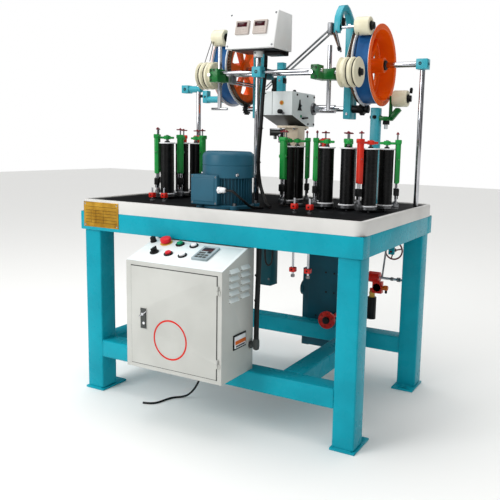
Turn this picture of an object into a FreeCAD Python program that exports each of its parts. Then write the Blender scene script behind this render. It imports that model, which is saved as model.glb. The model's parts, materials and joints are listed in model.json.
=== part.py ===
import FreeCAD, Part
import math
import os
import re
import Sketcher
from FreeCAD import Placement, Rotation, Vector

# A braiding machine with two maypole heads on one table. Millimetres, +Z up, +X to the right along the
# control side. The origin is on the floor, midway between the four foot bolts.

sizes = {
    # table
    "table_length": 1200, "table_depth": 780, "leg_side": 80, "leg_inset": 10, "leg_wall": 5,
    "foot_thick": 8, "foot_lip": 6, "foot_reach": 50, "anchor_radius": 7,
    "rail_low": 142, "rail_top": 212, "cross_rail_x": 317,
    "apron_low": 660, "apron_top": 732, "apron_wall": 60,
    "bed_top": 776, "bed_thick": 20, "rim_top": 780, "rim_wall": 18, "rim_ledge": 40, "rim_corner": 40,
    "plate_left": -582, "plate_right": -405, "plate_low": 673, "plate_top": 771, "plate_thick": 2,
    # braiding heads
    "gear_pitch": 100, "gear_module": 2.5, "gear_low": 700, "gear_face": 14, "gear_shaft": 10,
    "right_head_x": 185, "right_head_y": -20, "left_head_x": -400, "left_head_y": -100,
    "track_radius": 50, "track_width": 9, "track_depth": 12, "horn_radius": 40, "horn_top": 782,
    "foot_top": 797, "foot_radius": 24, "keel_radius": 4, "flange_radius": 31.5, "flange_thick": 5,
    "yarn_radius": 27, "yarn_top": 1003, "bobbin_top": 1009, "spindle_radius": 5,
    "tower_offset": 42, "tower_deep": 18, "tower_wide": 26, "tower_low": 880, "tower_top": 1036,
    "slider_low": 834, "slider_top": 863, "arm_low": 1024, "arm_top": 1034, "guide_top": 1064,
    "twin_rod_radius": 2.5, "twin_rod_spread": 7, "running_gap": 0.05,
    # vertical motor
    "motor_x": 0, "motor_y": -245, "motor_base_top": 790, "motor_radius": 88, "motor_flange": 96,
    "cowl_low": 891, "cowl_top": 983, "cowl_radius": 96, "cowl_wall": 3, "motor_shaft": 12,
    "fan_radius": 78, "pulley_radius": 35, "box_left": -95, "box_right": 20, "box_front": -352,
    "box_low": 790, "box_top": 898,
    # counter post and box
    "post_x": 0, "post_y": -45, "post_radius": 11, "post_top": 1369, "case_half": 107.5,
    "case_top": 1509, "case_front_low": -115, "case_front_top": -80, "case_back": 28, "case_wall": 3,
    "counter_low": 1421, "counter_top": 1473, "counter_wide": 60, "counter_centre": 39,
    # bars, posts and rollers
    "bar_z": 1288, "bar_radius": 7.5, "front_bar_y": -45, "rear_bar_y": 41,
    "tee_radius": 8.5, "tee_low": 1148, "tee_top": 1394, "right_tee_x": 254, "right_tee_y": 67,
    "left_tee_x": -190, "left_tee_y": -27, "tee_half": 38,
    "right_post_x": 568, "right_post_y": 255, "left_post_x": -494, "left_post_y": 250,
    "side_post_radius": 10, "right_post_top": 1345, "left_post_top": 1272,
    "pull_shift": -645, "roller_radius": 56, "roller_left": 316, "roller_wide": 75, "groove_deep": 8,
    "top_roller_radius": 34, "top_roller_left": 339, "top_roller_wide": 60, "top_roller_y": 120,
    "left_roller_x": -311, "left_roller_y": 112, "left_roller_z": 1452, "boss_radius": 13,
    "top_roller_z": 1468, "pin_radius": 6, "low_roller_radius": 33, "low_roller_left": 440,
    "low_roller_wide": 60, "low_roller_y": 300, "low_roller_z": 1207,
    # take-up capstans and their drive
    "shaft_y": 255, "capstan_z": 1335, "capstan_left": 314, "drum_wide": 86, "drum_radius": 150,
    "drum_wall": 6, "rim_radius": 161, "rim_thick": 5, "bowl_radius": 138, "web_left": 16, "web_thick": 10,
    "hub_radius": 30, "hub_right": 98, "window_low": 42, "window_top": 110, "window_angle": 40,
    "shaft_radius": 11, "drive_z": 1162.5, "drive_module": 3.75, "wheel_teeth": 80, "pinion_teeth": 12,
    "wheel_face": 16, "flange_right": 21, "coupling_radius": 17, "capstan_turned": -226,
    "bracket_left": 245, "bracket_right": 277, "bracket_front": 233, "bracket_back": 277,
    "bracket_low": 1122, "bracket_top": 1512, "strut_left": -191, "strut_right": -159,
    "gearbox_left": -44, "gearbox_right": 97, "gearbox_front": 62, "gearbox_back": 270,
    "gearbox_low": 1129, "gearbox_heel": 1088, "gearbox_top": 1223,
    # control cabinet
    "cabinet_left": -230, "cabinet_right": 175, "cabinet_front": -545, "cabinet_back": -345,
    "cabinet_top": 655, "cabinet_wall": 2, "slope_low": 596, "slope_back": -385, "panel_tilt": 20.242,
    "panel_thick": 2, "door_left": -205, "door_right": 155.5, "door_low": 229, "door_top": 580,
    "door_thick": 3, "hinge_x": 160, "hinge_y": -549.5, "hinge_radius": 4,
    "upper_row": 140, "lower_row": 68, "button_radius": 11, "bezel_radius": 14.5,
    "knob_x": -214, "stop_x": -155, "start_x": -93, "lamp_x": -32, "button_height": 7,
    "keypad_left": 17, "keypad_right": 82, "keypad_low": 51, "keypad_top": 138,
    # parts under the bed
    "column_left": 36, "column_right": 200, "column_front": 384, "column_back": 470, "column_low": 80,
    "disc_x": 185, "disc_z": 245, "disc_radius": 39, "disc_front": 268,
    "wheel_x": 433, "wheel_z": 563, "wheel_front": 412, "hand_wheel_radius": 42,
    "lead_radius": 4, "conduit_radius": 7, "cable_radius": 4.5,
}

doc = FreeCAD.newDocument("BraidingMachine")
sheet = doc.addObject("Spreadsheet::Sheet", "Sizes")
for row, (alias, number) in enumerate(sizes.items(), 1):
    sheet.set("A%d" % row, str(number))
    sheet.setAlias("A%d" % row, alias)
doc.recompute()
nodes = []


def bound(text):
    # the expression with every cell's alias written as Sizes.alias
    return re.sub(r"[a-z][a-z_]+", lambda word: "Sizes." + word.group() if word.group() in sizes
                  else word.group(), str(text))


def number(text):
    return float(sheet.evalExpression(bound(text)))


def node(label, thing):
    thing.Label = label
    nodes.append(thing)
    return thing


def box(name, across, deep, high):
    block = doc.addObject("Part::Box", name)
    for size, axis, (low, top) in zip(("Length", "Width", "Height"), "xyz", (across, deep, high)):
        block.setExpression(size, bound("(%s) - (%s)" % (top, low)))
        block.setExpression("Placement.Base." + axis, bound(low))
    return block


def rod(name, across, deep, high, radius):
    # a round bar along the one direction that is given as a pair of ends
    turns = (Rotation(Vector(0, 1, 0), 90), Rotation(Vector(1, 0, 0), -90), Rotation())
    cylinder = doc.addObject("Part::Cylinder", name)
    cylinder.setExpression("Radius", bound(radius))
    for axis, span, turn in zip("xyz", (across, deep, high), turns):
        low = span
        if isinstance(span, tuple):
            low = span[0]
            cylinder.Placement = Placement(Vector(), turn)
            cylinder.setExpression("Height", bound("(%s) - (%s)" % (span[1], low)))
        cylinder.setExpression("Placement.Base." + axis, bound(low))
    return cylinder


def fuse(name, parts):
    joined = doc.addObject("Part::MultiFuse", name)
    joined.Shapes = parts
    return joined


def together(name, parts):
    # separate solids in one sub-part
    group = doc.addObject("Part::Compound", name)
    group.Links = parts
    return group


def cut(name, base, tools):
    taken = doc.addObject("Part::Cut", name)
    taken.Base = base
    taken.Tool = tools[0] if len(tools) == 1 else fuse(name + "_tools", tools)
    return taken


def fixed(name, shape):
    solid = doc.addObject("Part::Feature", name)
    solid.Shape = shape
    return solid


def place(thing, across, deep, high, turn=Rotation()):
    thing.Placement = Placement(Vector(), turn)
    for axis, text in zip("xyz", (across, deep, high)):
        thing.setExpression("Placement.Base." + axis, bound(text))
    return thing


def outline(body, role, corners):
    # a closed sketch of straight lines whose corners are bound to the sheet
    sketch = body.newObject("Sketcher::SketchObject", body.Name + "_outline")
    plane = [feature for feature in body.Origin.OriginFeatures if feature.Role == role][0]
    sketch.AttachmentSupport = [(plane, "")]
    sketch.MapMode = "FlatFace"
    points = [Vector(number(a), number(b), 0) for a, b in corners]
    for index, point in enumerate(points):
        sketch.addGeometry(Part.LineSegment(point, points[(index + 1) % len(points)]), False)
    for index, (corner, point) in enumerate(zip(corners, points)):
        sketch.addConstraint(Sketcher.Constraint("Coincident", index, 2, (index + 1) % len(points), 1))
        for kind, text, length in zip(("DistanceX", "DistanceY"), corner, (point.x, point.y)):
            limit = sketch.addConstraint(Sketcher.Constraint(kind, -1, 1, index, 1, length))
            sketch.setExpression("Constraints[%d]" % limit, bound(text))
    return sketch


def prism(name, role, corners, low, top):
    # an outline padded along the normal of its plane, from low to top
    body = doc.addObject("PartDesign::Body", name)
    sketch = outline(body, role, corners)
    pad = body.newObject("PartDesign::Pad", name + "_pad")
    pad.Profile = (sketch, [""])
    pad.setExpression("Length", bound("(%s) - (%s)" % (top, low)))
    along = {"XY_Plane": "z", "YZ_Plane": "x", "XZ_Plane": "y"}[role]
    if along == "y":
        pad.Reversed = True
    body.setExpression("Placement.Base." + along, bound(low))
    return body


def turned(name, corners, across, deep, high, turn=Rotation()):
    # an outline of (along the axis, radius) corners turned round the axis
    body = doc.addObject("PartDesign::Body", name)
    sketch = outline(body, "XZ_Plane", corners)
    spin = body.newObject("PartDesign::Revolution", name + "_turn")
    spin.Profile = (sketch, [""])
    spin.ReferenceAxis = (sketch, ["H_Axis"])
    spin.Angle = 360
    return place(body, across, deep, high, turn)


def tube(name, route, radius):
    # straight runs joined by tangent arcs, each arc as large as 0.45 of its shorter run allows
    points = [Vector(*point) for point in route]
    edges = []
    radii = []
    start = points[0]
    for before, corner, after in zip(points, points[1:], points[2:]):
        come = (corner - before).normalize()
        leave = (after - corner).normalize()
        half_turn = come.getAngle(leave) / 2
        reach = 0.45 * min((corner - before).Length, (after - corner).Length)
        radii.append(reach / math.tan(half_turn))
        first = corner - come * reach
        last = corner + leave * reach
        centre = corner + (leave - come).normalize() * (radii[-1] / math.cos(half_turn))
        middle = centre + (corner - centre).normalize() * radii[-1]
        edges.append(Part.LineSegment(start, first).toShape())
        edges.append(Part.Arc(first, middle, last).toShape())
        start = last
    edges.append(Part.LineSegment(start, points[-1]).toShape())
    path = Part.Wire(edges)
    ring = Part.Wire(Part.makeCircle(radius, points[0], points[1] - points[0]))
    shape = path.makePipeShell([ring], True, True)
    ratio = shape.Volume / (math.pi * radius ** 2 * path.Length)
    print("%s radii %s volume ratio %.4f" % (name, [round(r) for r in radii], ratio))
    return fixed(name, shape)


def toothed(name, teeth, module, bore, face, phase=0.0):
    # a spur wheel with slim teeth, its axis along Z and its low face at z = 0
    pitch_radius = teeth * module / 2
    root = pitch_radius - 1.0 * module
    tip = pitch_radius + 0.8 * module
    step = 2 * math.pi / teeth
    corners = []
    for index in range(teeth):
        middle = index * step + math.radians(phase)
        for radius, share in ((root, -0.30), (tip, -0.13), (tip, 0.13), (root, 0.30)):
            angle = middle + share * step
            corners.append(Vector(radius * math.cos(angle), radius * math.sin(angle), 0))
    profile = Part.Face(Part.makePolygon(corners + corners[:1]))
    wheel = profile.extrude(Vector(0, 0, face))
    return wheel.cut(Part.makeCylinder(bore, face))


# ---- table ---------------------------------------------------------------------------------------

leg_ends = {"left": ("-table_length/2 + leg_inset", "-table_length/2 + leg_inset + leg_side"),
            "right": ("table_length/2 - leg_inset - leg_side", "table_length/2 - leg_inset")}
leg_sides = {"front": ("-table_depth/2 + leg_inset", "-table_depth/2 + leg_inset + leg_side"),
             "back": ("table_depth/2 - leg_inset - leg_side", "table_depth/2 - leg_inset")}
reach = {"front": ("-foot_lip", "foot_reach"), "back": ("-foot_reach", "foot_lip")}

legs = []
feet = []
for end, (left, right) in leg_ends.items():
    for side, (front, back) in leg_sides.items():
        tag = "%s_%s" % (side, end)
        post = box("leg_" + tag, (left, right), (front, back), ("foot_thick", "apron_low"))
        hollow = box("leg_hollow_" + tag, (left + " + leg_wall", right + " - leg_wall"),
                     (front + " + leg_wall", back + " - leg_wall"), ("foot_thick - 1", "apron_low + 1"))
        legs.append(cut("leg_tube_" + tag, post, [hollow]))
        low_reach, top_reach = reach[side]
        foot = box("foot_" + tag, (left + " - foot_lip", right + " + foot_lip"),
                   (front + " + (%s)" % low_reach, back + " + (%s)" % top_reach), ("0", "foot_thick"))
        anchor_y = back + " + foot_reach/2" if side == "front" else front + " - foot_reach/2"
        anchor = rod("anchor_" + tag, "(%s + %s)/2" % (left, right), anchor_y,
                     ("-1", "foot_thick + 1"), "anchor_radius")
        feet.append(cut("foot_plate_" + tag, foot, [anchor]))
node("legs", together("legs_group", legs))
node("foot_plates", together("feet_group", feet))

rail_high = ("rail_low", "rail_top")
rails = []


def rail_tube(name, across, deep, along):
    # a box-section rail, open at its two ends, which butt on the legs or on another rail
    walls = []
    for axis, (low, top) in zip("xyz", (across, deep, rail_high)):
        gap = "-1" if axis == along else "leg_wall"
        walls.append((low + " + " + gap, top + " - " + gap))
    return cut(name + "_tube", box(name, across, deep, rail_high), [box(name + "_hollow", *walls)])


for side, (front, back) in leg_sides.items():
    rails.append(rail_tube("rail_" + side, (leg_ends["left"][1], leg_ends["right"][0]), (front, back), "x"))
inner_deep = (leg_sides["front"][1], leg_sides["back"][0])
cross_rail = ("cross_rail_x - leg_side/2", "cross_rail_x + leg_side/2")
rails.append(rail_tube("rail_left", leg_ends["left"], inner_deep, "y"))
rails.append(rail_tube("rail_cross", cross_rail, inner_deep, "y"))
node("lower_rails", together("rails_group", rails))


apron_high = ("apron_low", "apron_top")
whole_across = ("-table_length/2", "table_length/2")
apron_deep = ("-table_depth/2 + apron_wall", "table_depth/2 - apron_wall")
node("apron_frame", together("apron_group", [
    box("apron_front", whole_across, ("-table_depth/2", apron_deep[0]), apron_high),
    box("apron_back", whole_across, (apron_deep[1], "table_depth/2"), apron_high),
    box("apron_left", ("-table_length/2", "-table_length/2 + apron_wall"), apron_deep, apron_high),
    box("apron_right", ("table_length/2 - apron_wall", "table_length/2"), apron_deep, apron_high)]))

rim_body = prism("rim_block", "XY_Plane", [
    ("-table_length/2", "-table_depth/2"), ("table_length/2", "-table_depth/2"),
    ("table_length/2", "table_depth/2"), ("-table_length/2", "table_depth/2")], "apron_top", "rim_top")
doc.recompute()
rim_pad = rim_body.Tip
uprights = ["Edge%d" % (index + 1) for index, edge in enumerate(rim_body.Shape.Edges)
            if abs(edge.tangentAt(edge.FirstParameter).z) > 0.9]
corner_fillet = rim_body.newObject("PartDesign::Fillet", "rim_corners")
corner_fillet.Base = (rim_pad, uprights)
corner_fillet.setExpression("Radius", bound("rim_corner"))
rim_pocket = box("rim_pocket", ("-table_length/2 + rim_wall", "table_length/2 - rim_wall"),
                 ("-table_depth/2 + rim_wall", "table_depth/2 - rim_wall"),
                 ("bed_top - bed_thick", "rim_top + 1"))
rim_through = box("rim_through", ("-table_length/2 + rim_ledge", "table_length/2 - rim_ledge"),
                  ("-table_depth/2 + rim_ledge", "table_depth/2 - rim_ledge"), ("apron_top - 1", "rim_top + 1"))
node("bed_rim", cut("bed_rim_cut", rim_body, [rim_pocket, rim_through]))

nameplate = box("nameplate_sheet", ("plate_left", "plate_right"),
                ("-table_depth/2 - plate_thick", "-table_depth/2"), ("plate_low", "plate_top"))
plate_screws = [rod("plate_screw_%d" % index, across, ("-table_depth/2 - plate_thick - 1.5", "-table_depth/2"),
                    high, "3.5")
                for index, (across, high) in enumerate([(a, b) for a in ("plate_left + 8", "plate_right - 8")
                                                        for b in ("plate_low + 8", "plate_top - 8")])]
node("nameplate", fuse("nameplate_group", [nameplate] + plate_screws))

# ---- braiding heads ------------------------------------------------------------------------------

# every head is a row of horn gears; a carrier is (angle on its gear, direction of its tower)
right_rows = [[(225, 267), (135, 20)], [(130, 319), (305, 200)], [(290, 117), (110, 117)], [(275, 228), (45, 27)]]
left_rows = [[(307, 207), (127, 207)], [(307, 297), (127, 117)], [(307, 351), (127, 117)]]
heads = []
for index, carriers in enumerate(right_rows):
    heads.append(("right_%d" % (index + 1), number("right_head_x + gear_pitch*%d" % index),
                  number("right_head_y"), carriers, index % 2))
for index, carriers in enumerate(left_rows):
    heads.append(("left_%d" % (index + 1), number("left_head_x"),
                  number("left_head_y + gear_pitch*%d" % index), carriers, index % 2))


def carrier_parts():
    # one carrier at the origin with its tower along +X: frame pieces first, bobbin second
    low_tower = "tower_offset - tower_deep/2"
    far_tower = "tower_offset + tower_deep/2"
    half = "tower_wide/2"
    foot = rod("carrier_foot", "0", "0", ("horn_top", "foot_top - 5"), "foot_radius")
    keel = rod("carrier_keel", "0", "0", ("bed_top - track_depth + 2", "horn_top + 1"), "keel_radius")
    spindle = rod("carrier_spindle", "0", "0", ("foot_top - 6", "arm_top"), "spindle_radius")
    ledge = box("carrier_ledge", ("0", far_tower), ("-9", "9"), ("foot_top - 13", "foot_top - 5"))
    rods = [rod("carrier_rod_%d" % sign, "tower_offset", "%d*twin_rod_spread" % sign,
                ("foot_top - 6", "tower_low + 1"), "twin_rod_radius") for sign in (-1, 1)]
    tower = box("carrier_tower", (low_tower, far_tower), ("-" + half, half), ("tower_low", "tower_top"))
    arm = box("carrier_arm", ("-8", low_tower + " + 1"), ("-6", "6"), ("arm_low", "arm_top"))
    stem = rod("carrier_stem", "tower_offset - 4", "0", ("tower_top - 1", "guide_top"), "3")
    bar = box("carrier_cross", ("tower_offset - 7", "tower_offset - 1"), ("-15", "15"),
              ("guide_top - 5", "guide_top"))
    slider = box("carrier_slider", (low_tower, far_tower), ("-11", "11"), ("slider_low", "slider_top"))
    frame = fuse("carrier_frame", [foot, keel, spindle, ledge] + rods + [tower, arm, stem, bar, slider])
    bobbin = turned("bobbin_pattern", [("0", "spindle_radius + running_gap"), ("0", "flange_radius"),
                    ("flange_thick", "flange_radius"), ("flange_thick", "yarn_radius"),
                    ("yarn_top - foot_top", "yarn_radius"), ("yarn_top - foot_top", "flange_radius"),
                    ("bobbin_top - foot_top", "flange_radius"),
                    ("bobbin_top - foot_top", "spindle_radius + running_gap")],
                    "0", "0", "foot_top", Rotation(Vector(0, 1, 0), -90))
    return frame, bobbin


carrier_frame, bobbin_pattern = carrier_parts()
doc.recompute()
lone_tower = carrier_frame.Shape.common(Part.makeBox(60, 60, 400, Vector(10, -30, number("foot_top - 13"))))
gear_blank = toothed("horn_gear", int(number("gear_pitch/gear_module")), number("gear_module"), 1,
                     number("gear_face"))
gear_shaft = Part.makeCylinder(number("gear_shaft"), number("horn_top - gear_low"))
horn_plate = Part.makeCylinder(number("horn_radius"), number("horn_top - bed_top") - 0.3,
                               Vector(0, 0, number("bed_top - gear_low") + 0.3))
half_tooth = 180 / number("gear_pitch/gear_module")
track_cuts = []
for tag, gear_x, gear_y, carriers, odd in heads:
    gear = gear_blank.copy()
    gear.rotate(Vector(), Vector(0, 0, 1), half_tooth * odd)
    gear = gear.fuse([gear_shaft, horn_plate])
    gear.translate(Vector(gear_x, gear_y, number("gear_low")))
    frames = [fixed("horn_gear_" + tag, gear)]
    bobbins = []
    for index, (angle, facing) in enumerate(carriers):
        spot = Vector(gear_x + number("track_radius") * math.cos(math.radians(angle)),
                      gear_y + number("track_radius") * math.sin(math.radians(angle)), 0)
        turn = Placement(spot, Rotation(Vector(0, 0, 1), facing))
        for pattern, group, kind in ((carrier_frame, frames, "frame"), (bobbin_pattern, bobbins, "bobbin")):
            copy = fixed("%s_%s_%d" % (kind, tag, index), pattern.Shape.copy())
            copy.Placement = turn.multiply(pattern.Placement) if kind == "bobbin" else turn
            group.append(copy)
    if tag == "right_1":
        # this gear also carries a tower whose bobbin is off
        frames.append(place(fixed("lone_tower", lone_tower), str(gear_x - 28), str(gear_y), "0",
                            Rotation(Vector(0, 0, 1), 180)))
    node("carriers_" + tag, together("carriers_group_" + tag, frames))
    node("bobbins_" + tag, together("bobbins_group_" + tag, bobbins))
    track = Part.makeCylinder(number("track_radius + track_width/2"), 20)
    track = track.cut(Part.makeCylinder(number("track_radius - track_width/2"), 20))
    track.translate(Vector(gear_x, gear_y, number("bed_top - track_depth")))
    bore = Part.makeCylinder(number("gear_shaft + running_gap"), 90, Vector(gear_x, gear_y, number("gear_low")))
    track_cuts.extend([track, bore])
track_tool = fixed("track_tool", track_cuts[0].multiFuse(track_cuts[1:]))

# stop rods that hang through the bed, with a block above and a block below it
stop_places = [("290", "-268"), ("348", "-265"), ("-354", "-253"), ("-305", "-240")]
stop_rods = []
stop_blocks = []
for index, (across, deep) in enumerate(stop_places):
    stop_rods.append(rod("stop_rod_%d" % index, across, deep, ("548", "830"), "4"))
    for name, low, top in (("upper", "790", "812"), ("lower", "566", "586")):
        stop_blocks.append(box("stop_%s_%d" % (name, index), (across + " - 13", across + " + 13"),
                               (deep + " - 11", deep + " + 11"), (low, top)))
node("stop_rods", fuse("stop_group", stop_rods + stop_blocks))

bed_block = box("bed_block", ("-table_length/2 + rim_wall", "table_length/2 - rim_wall"),
                ("-table_depth/2 + rim_wall", "table_depth/2 - rim_wall"), ("bed_top - bed_thick", "bed_top"))
motor_well = rod("motor_well", "motor_x", "motor_y", ("bed_top - bed_thick - 1", "bed_top + 1"), "motor_shaft + 8")
stop_holes = [rod("stop_hole_%d" % index, across, deep, ("bed_top - bed_thick - 1", "bed_top + 1"), "4")
              for index, (across, deep) in enumerate(stop_places)]
node("bed_plate", cut("bed_plate_cut", bed_block, [track_tool, motor_well] + stop_holes))

# ---- motor ---------------------------------------------------------------------------------------

motor_base = rod("motor_base", "motor_x", "motor_y", ("bed_top", "motor_base_top"), "motor_flange")
motor_case = rod("motor_case", "motor_x", "motor_y", ("motor_base_top", "cowl_low"), "motor_radius")
motor_bore = rod("motor_bore", "motor_x", "motor_y", ("bed_top - 1", "cowl_low + 1"), "motor_shaft + running_gap")
motor_solid = fuse("motor_solid", [motor_base, motor_case])
node("motor_body", cut("motor_body_cut", motor_solid, [motor_bore]))
upright = Rotation(Vector(0, 1, 0), -90)
node("fan_cowl", turned("cowl_shell", [("0", "cowl_radius"), ("cowl_top - cowl_low - 18", "cowl_radius"),
     ("cowl_top - cowl_low", "cowl_radius - 16"), ("cowl_top - cowl_low", "0"),
     ("cowl_top - cowl_low - cowl_wall", "0"), ("cowl_top - cowl_low - cowl_wall", "cowl_radius - 18"),
     ("cowl_top - cowl_low - 20", "cowl_radius - cowl_wall"), ("0", "cowl_radius - cowl_wall")],
     "motor_x", "motor_y", "cowl_low", upright))
rotor_shaft = rod("rotor_shaft", "motor_x", "motor_y", ("690", "950"), "motor_shaft")
fan_disc = rod("fan_disc", "motor_x", "motor_y", ("920", "945"), "fan_radius")
drive_pulley = rod("drive_pulley", "motor_x", "motor_y", ("690", "722"), "pulley_radius")
node("motor_rotor", fuse("rotor_group", [rotor_shaft, fan_disc, drive_pulley]))
terminal_block = box("terminal_block", ("box_left", "box_right"), ("box_front", "motor_y - 30"),
                     ("box_low", "box_top"))
terminal_trim = rod("terminal_trim", "motor_x", "motor_y", ("box_low - 1", "box_top + 1"), "cowl_radius")
motor_gland = rod("motor_gland", ("box_right", "box_right + 34"), "box_front + 10", "846", "10.5")
node("terminal_box", together("terminal_group", [cut("terminal_cut", terminal_block, [terminal_trim]),
                                                 motor_gland]))

# ---- bars and posts ------------------------------------------------------------------------------

chrome = [rod("counter_post", "post_x", "post_y", ("bed_top", "post_top"), "post_radius"),
          rod("right_post", "right_post_x", "right_post_y", ("bed_top", "right_post_top"), "side_post_radius"),
          rod("left_post", "left_post_x", "left_post_y", ("bed_top", "left_post_top"), "side_post_radius"),
          rod("front_bar_left", ("-205", "post_x - post_radius - 7"), "front_bar_y", "bar_z", "bar_radius"),
          rod("front_bar_right", ("post_x + post_radius + 7", "278"), "front_bar_y", "bar_z", "bar_radius"),
          rod("rear_bar", ("roller_left + pull_shift - 8", "roller_left + roller_wide + 8"), "rear_bar_y",
              "bar_z", "bar_radius")]
for side in ("right", "left"):
    across = side + "_tee_x"
    deep = side + "_tee_y"
    chrome.append(rod("tee_" + side, across, deep, ("tee_low", "tee_top"), "tee_radius"))
    chrome.append(rod("tee_bar_" + side, (across + " - tee_half", across + " + tee_half"), deep, "tee_low", "5"))
chrome.append(rod("top_pin_right", ("bracket_left", "top_roller_left + top_roller_wide + 12"), "top_roller_y",
                  "top_roller_z", "pin_radius"))
chrome.append(rod("top_pin_left", ("left_roller_x - 12", "strut_right"), "left_roller_y", "left_roller_z",
                  "pin_radius"))
chrome.append(rod("low_pin", ("low_roller_left - 26", "low_roller_left + low_roller_wide + 14"),
                  "low_roller_y", "low_roller_z", "pin_radius"))
chrome_rods = node("chrome_rods", fuse("chrome_group", chrome))

green_blocks = [box("green_right_front", ("240", "272"), ("-70", "-22"), ("1256", "1308")),
                box("green_left_front", ("-212", "-172"), ("-70", "-12"), ("1252", "1304")),
                box("green_right_rear", ("215", "290"), ("25", "82"), ("1262", "1302")),
                box("green_left_rear", ("-248", "-206"), ("25", "82"), ("1262", "1302")),
                fuse("green_low_arm", [box("green_low_bar", ("401", "434"), ("240", "312"), ("1118", "1134")),
                                       box("green_low_lug", ("414", "434"), ("288", "312"), ("1133", "1222"))])]
node("bar_clamps", cut("bar_clamps_cut", together("green_group", green_blocks), [chrome_rods]))

# ---- take-up: brackets, capstans, drive ----------------------------------------------------------

arch_corners = [("bracket_front", "1500"), ("bracket_back - 15", "1500"), ("258", "1514"), ("240", "1530"),
                ("222", "1545"), ("205", "1556"), ("180", "1564"), ("150", "1556"), ("128", "1534"), ("112", "1508"),
                ("107", "1480"), ("106", "1446"), ("121", "1446"), ("122", "1486"), ("131", "1514"), ("150", "1533"),
                ("178", "1539"), ("203", "1532"), ("220", "1514"), ("226", "1500")]
blue = []
for side, ends, deep, high in (("right", ("bracket_left", "bracket_right"), "top_roller_y", "top_roller_z"),
                               ("left", ("strut_left", "strut_right"), "left_roller_y", "left_roller_z")):
    blue.append(fuse("bracket_" + side, [
        box("bracket_bar_" + side, ends, ("bracket_front", "bracket_back"), ("bracket_low", "bracket_top")),
        rod("pin_boss_" + side, (ends[0] + " + 3", ends[1] + " - 3"), deep, high, "boss_radius"),
        prism("arch_" + side, "YZ_Plane", arch_corners, ends[0] + " + 3", ends[1] + " - 3")]))
blue.append(box("bracket_foot", ("bracket_left", "bracket_right"), ("bracket_back", "303"), ("bracket_low", "1234")))
blue.append(box("right_link", ("bracket_left", "bracket_right"), ("82", "bracket_front"), ("1268", "1298")))
blue.append(fuse("strut_link", [box("strut_clamp", ("-184", "-166"), ("27", "62"), ("1252", "1300")),
                                box("strut_arm", ("-181", "-169"), ("61", "bracket_front"), ("1252", "1268"))]))
blue.append(fuse("left_hook", [
    rod("left_hook_bar", ("-452", "-357"), "shaft_y", "1206", "15"),
    rod("left_hook_stub", ("left_post_x + 2", "-450"), "left_post_y + 4", "1222", "7"),
    box("left_hook_lug", ("-466", "-440"), ("240", "270"), ("1190", "1246"))]))
blue.append(fuse("left_post_clamp", [
    box("left_clamp_head", ("left_post_x - 86", "left_post_x - 48"), ("232", "268"), ("1235", "1271")),
    rod("left_clamp_sleeve", ("left_post_x - 50", "left_post_x + 16"), "left_post_y", "1253", "15")]))
blue.append(box("right_post_clamp", ("right_post_x - 23", "right_post_x + 23"), ("235", "275"), ("1315", "1355")))
blue.append(fuse("post_block", [
    box("post_block_front", ("post_x - 18", "post_x + 22"), ("-64", "-28"), ("1268", "1308")),
    box("post_block_rear", ("post_x - 18", "post_x + 8"), ("-29", "68"), ("1268", "1308"))]))
blue.append(rod("post_collar", "post_x", "post_y", ("1345", "post_top"), "post_radius + 7"))
blue.append(box("low_post", ("365", "401"), ("237", "273"), ("bed_top", "1168")))
shaft_holes = [rod("right_shaft_hole", ("bracket_left - 5", "right_post_x - 13"), "shaft_y", "capstan_z",
                   "shaft_radius + running_gap"),
               rod("left_shaft_hole", ("strut_left - 5", "strut_right + 5"), "shaft_y",
                   "capstan_z", "shaft_radius + running_gap"),
               rod("drive_shaft_hole", ("strut_left - 5", "bracket_right + 5"), "shaft_y", "drive_z",
                   "shaft_radius + running_gap")]
blue_solid = together("blue_group", blue)
node("take_up_brackets", cut("brackets_cut", blue_solid, [chrome_rods] + shaft_holes))

web_right = "web_left + web_thick"
wheel_corners = [("flange_right", "bowl_radius"), ("flange_right", "drum_radius"),
                 ("drum_wide + rim_thick", "drum_radius"), ("drum_wide + rim_thick", "bowl_radius + 1"),
                 (web_right, "bowl_radius - 2"), (web_right, "hub_radius"), ("hub_right", "hub_radius"),
                 ("hub_right", "shaft_radius - 1"), ("web_left - 8", "shaft_radius - 1"),
                 ("web_left - 8", "hub_radius"), ("web_left", "hub_radius"), ("web_left", "bowl_radius")]
ring_teeth = toothed("ring", int(number("wheel_teeth")), number("drive_module"),
                     number("drum_radius - drum_wall"), number("wheel_face"))
flange = Part.makeCylinder(number("rim_radius"), number("flange_right - wheel_face"))
flange = flange.cut(Part.makeCylinder(number("drum_radius - drum_wall"), number("flange_right - wheel_face")))
flange.translate(Vector(0, 0, number("wheel_face")))
ring_teeth = ring_teeth.fuse(flange)
rim_corners = [("drum_wide", "drum_radius"), ("drum_wide", "rim_radius"), ("drum_wide + rim_thick", "rim_radius"),
               ("drum_wide + rim_thick", "drum_radius")]
window_count = 6
sectors = []
for index in range(window_count):
    sector = Part.makeCylinder(number("window_top"), number("web_thick + 2"), Vector(0, 0, number("web_left - 1")),
                               Vector(0, 0, 1), number("window_angle"))
    sector.rotate(Vector(), Vector(0, 0, 1), 360 / window_count * index - number("window_angle/2"))
    sectors.append(sector)
web_windows = sectors[0].multiFuse(sectors[1:]).cut(
    Part.makeCylinder(number("window_low"), number("web_left + web_thick + 2")))
capstans = {"right": ("capstan_left", 1, ("bracket_left", "right_post_x - 15")),
            "left": ("capstan_turned", -1, ("capstan_turned - hub_right - 10", "strut_right"))}
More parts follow.
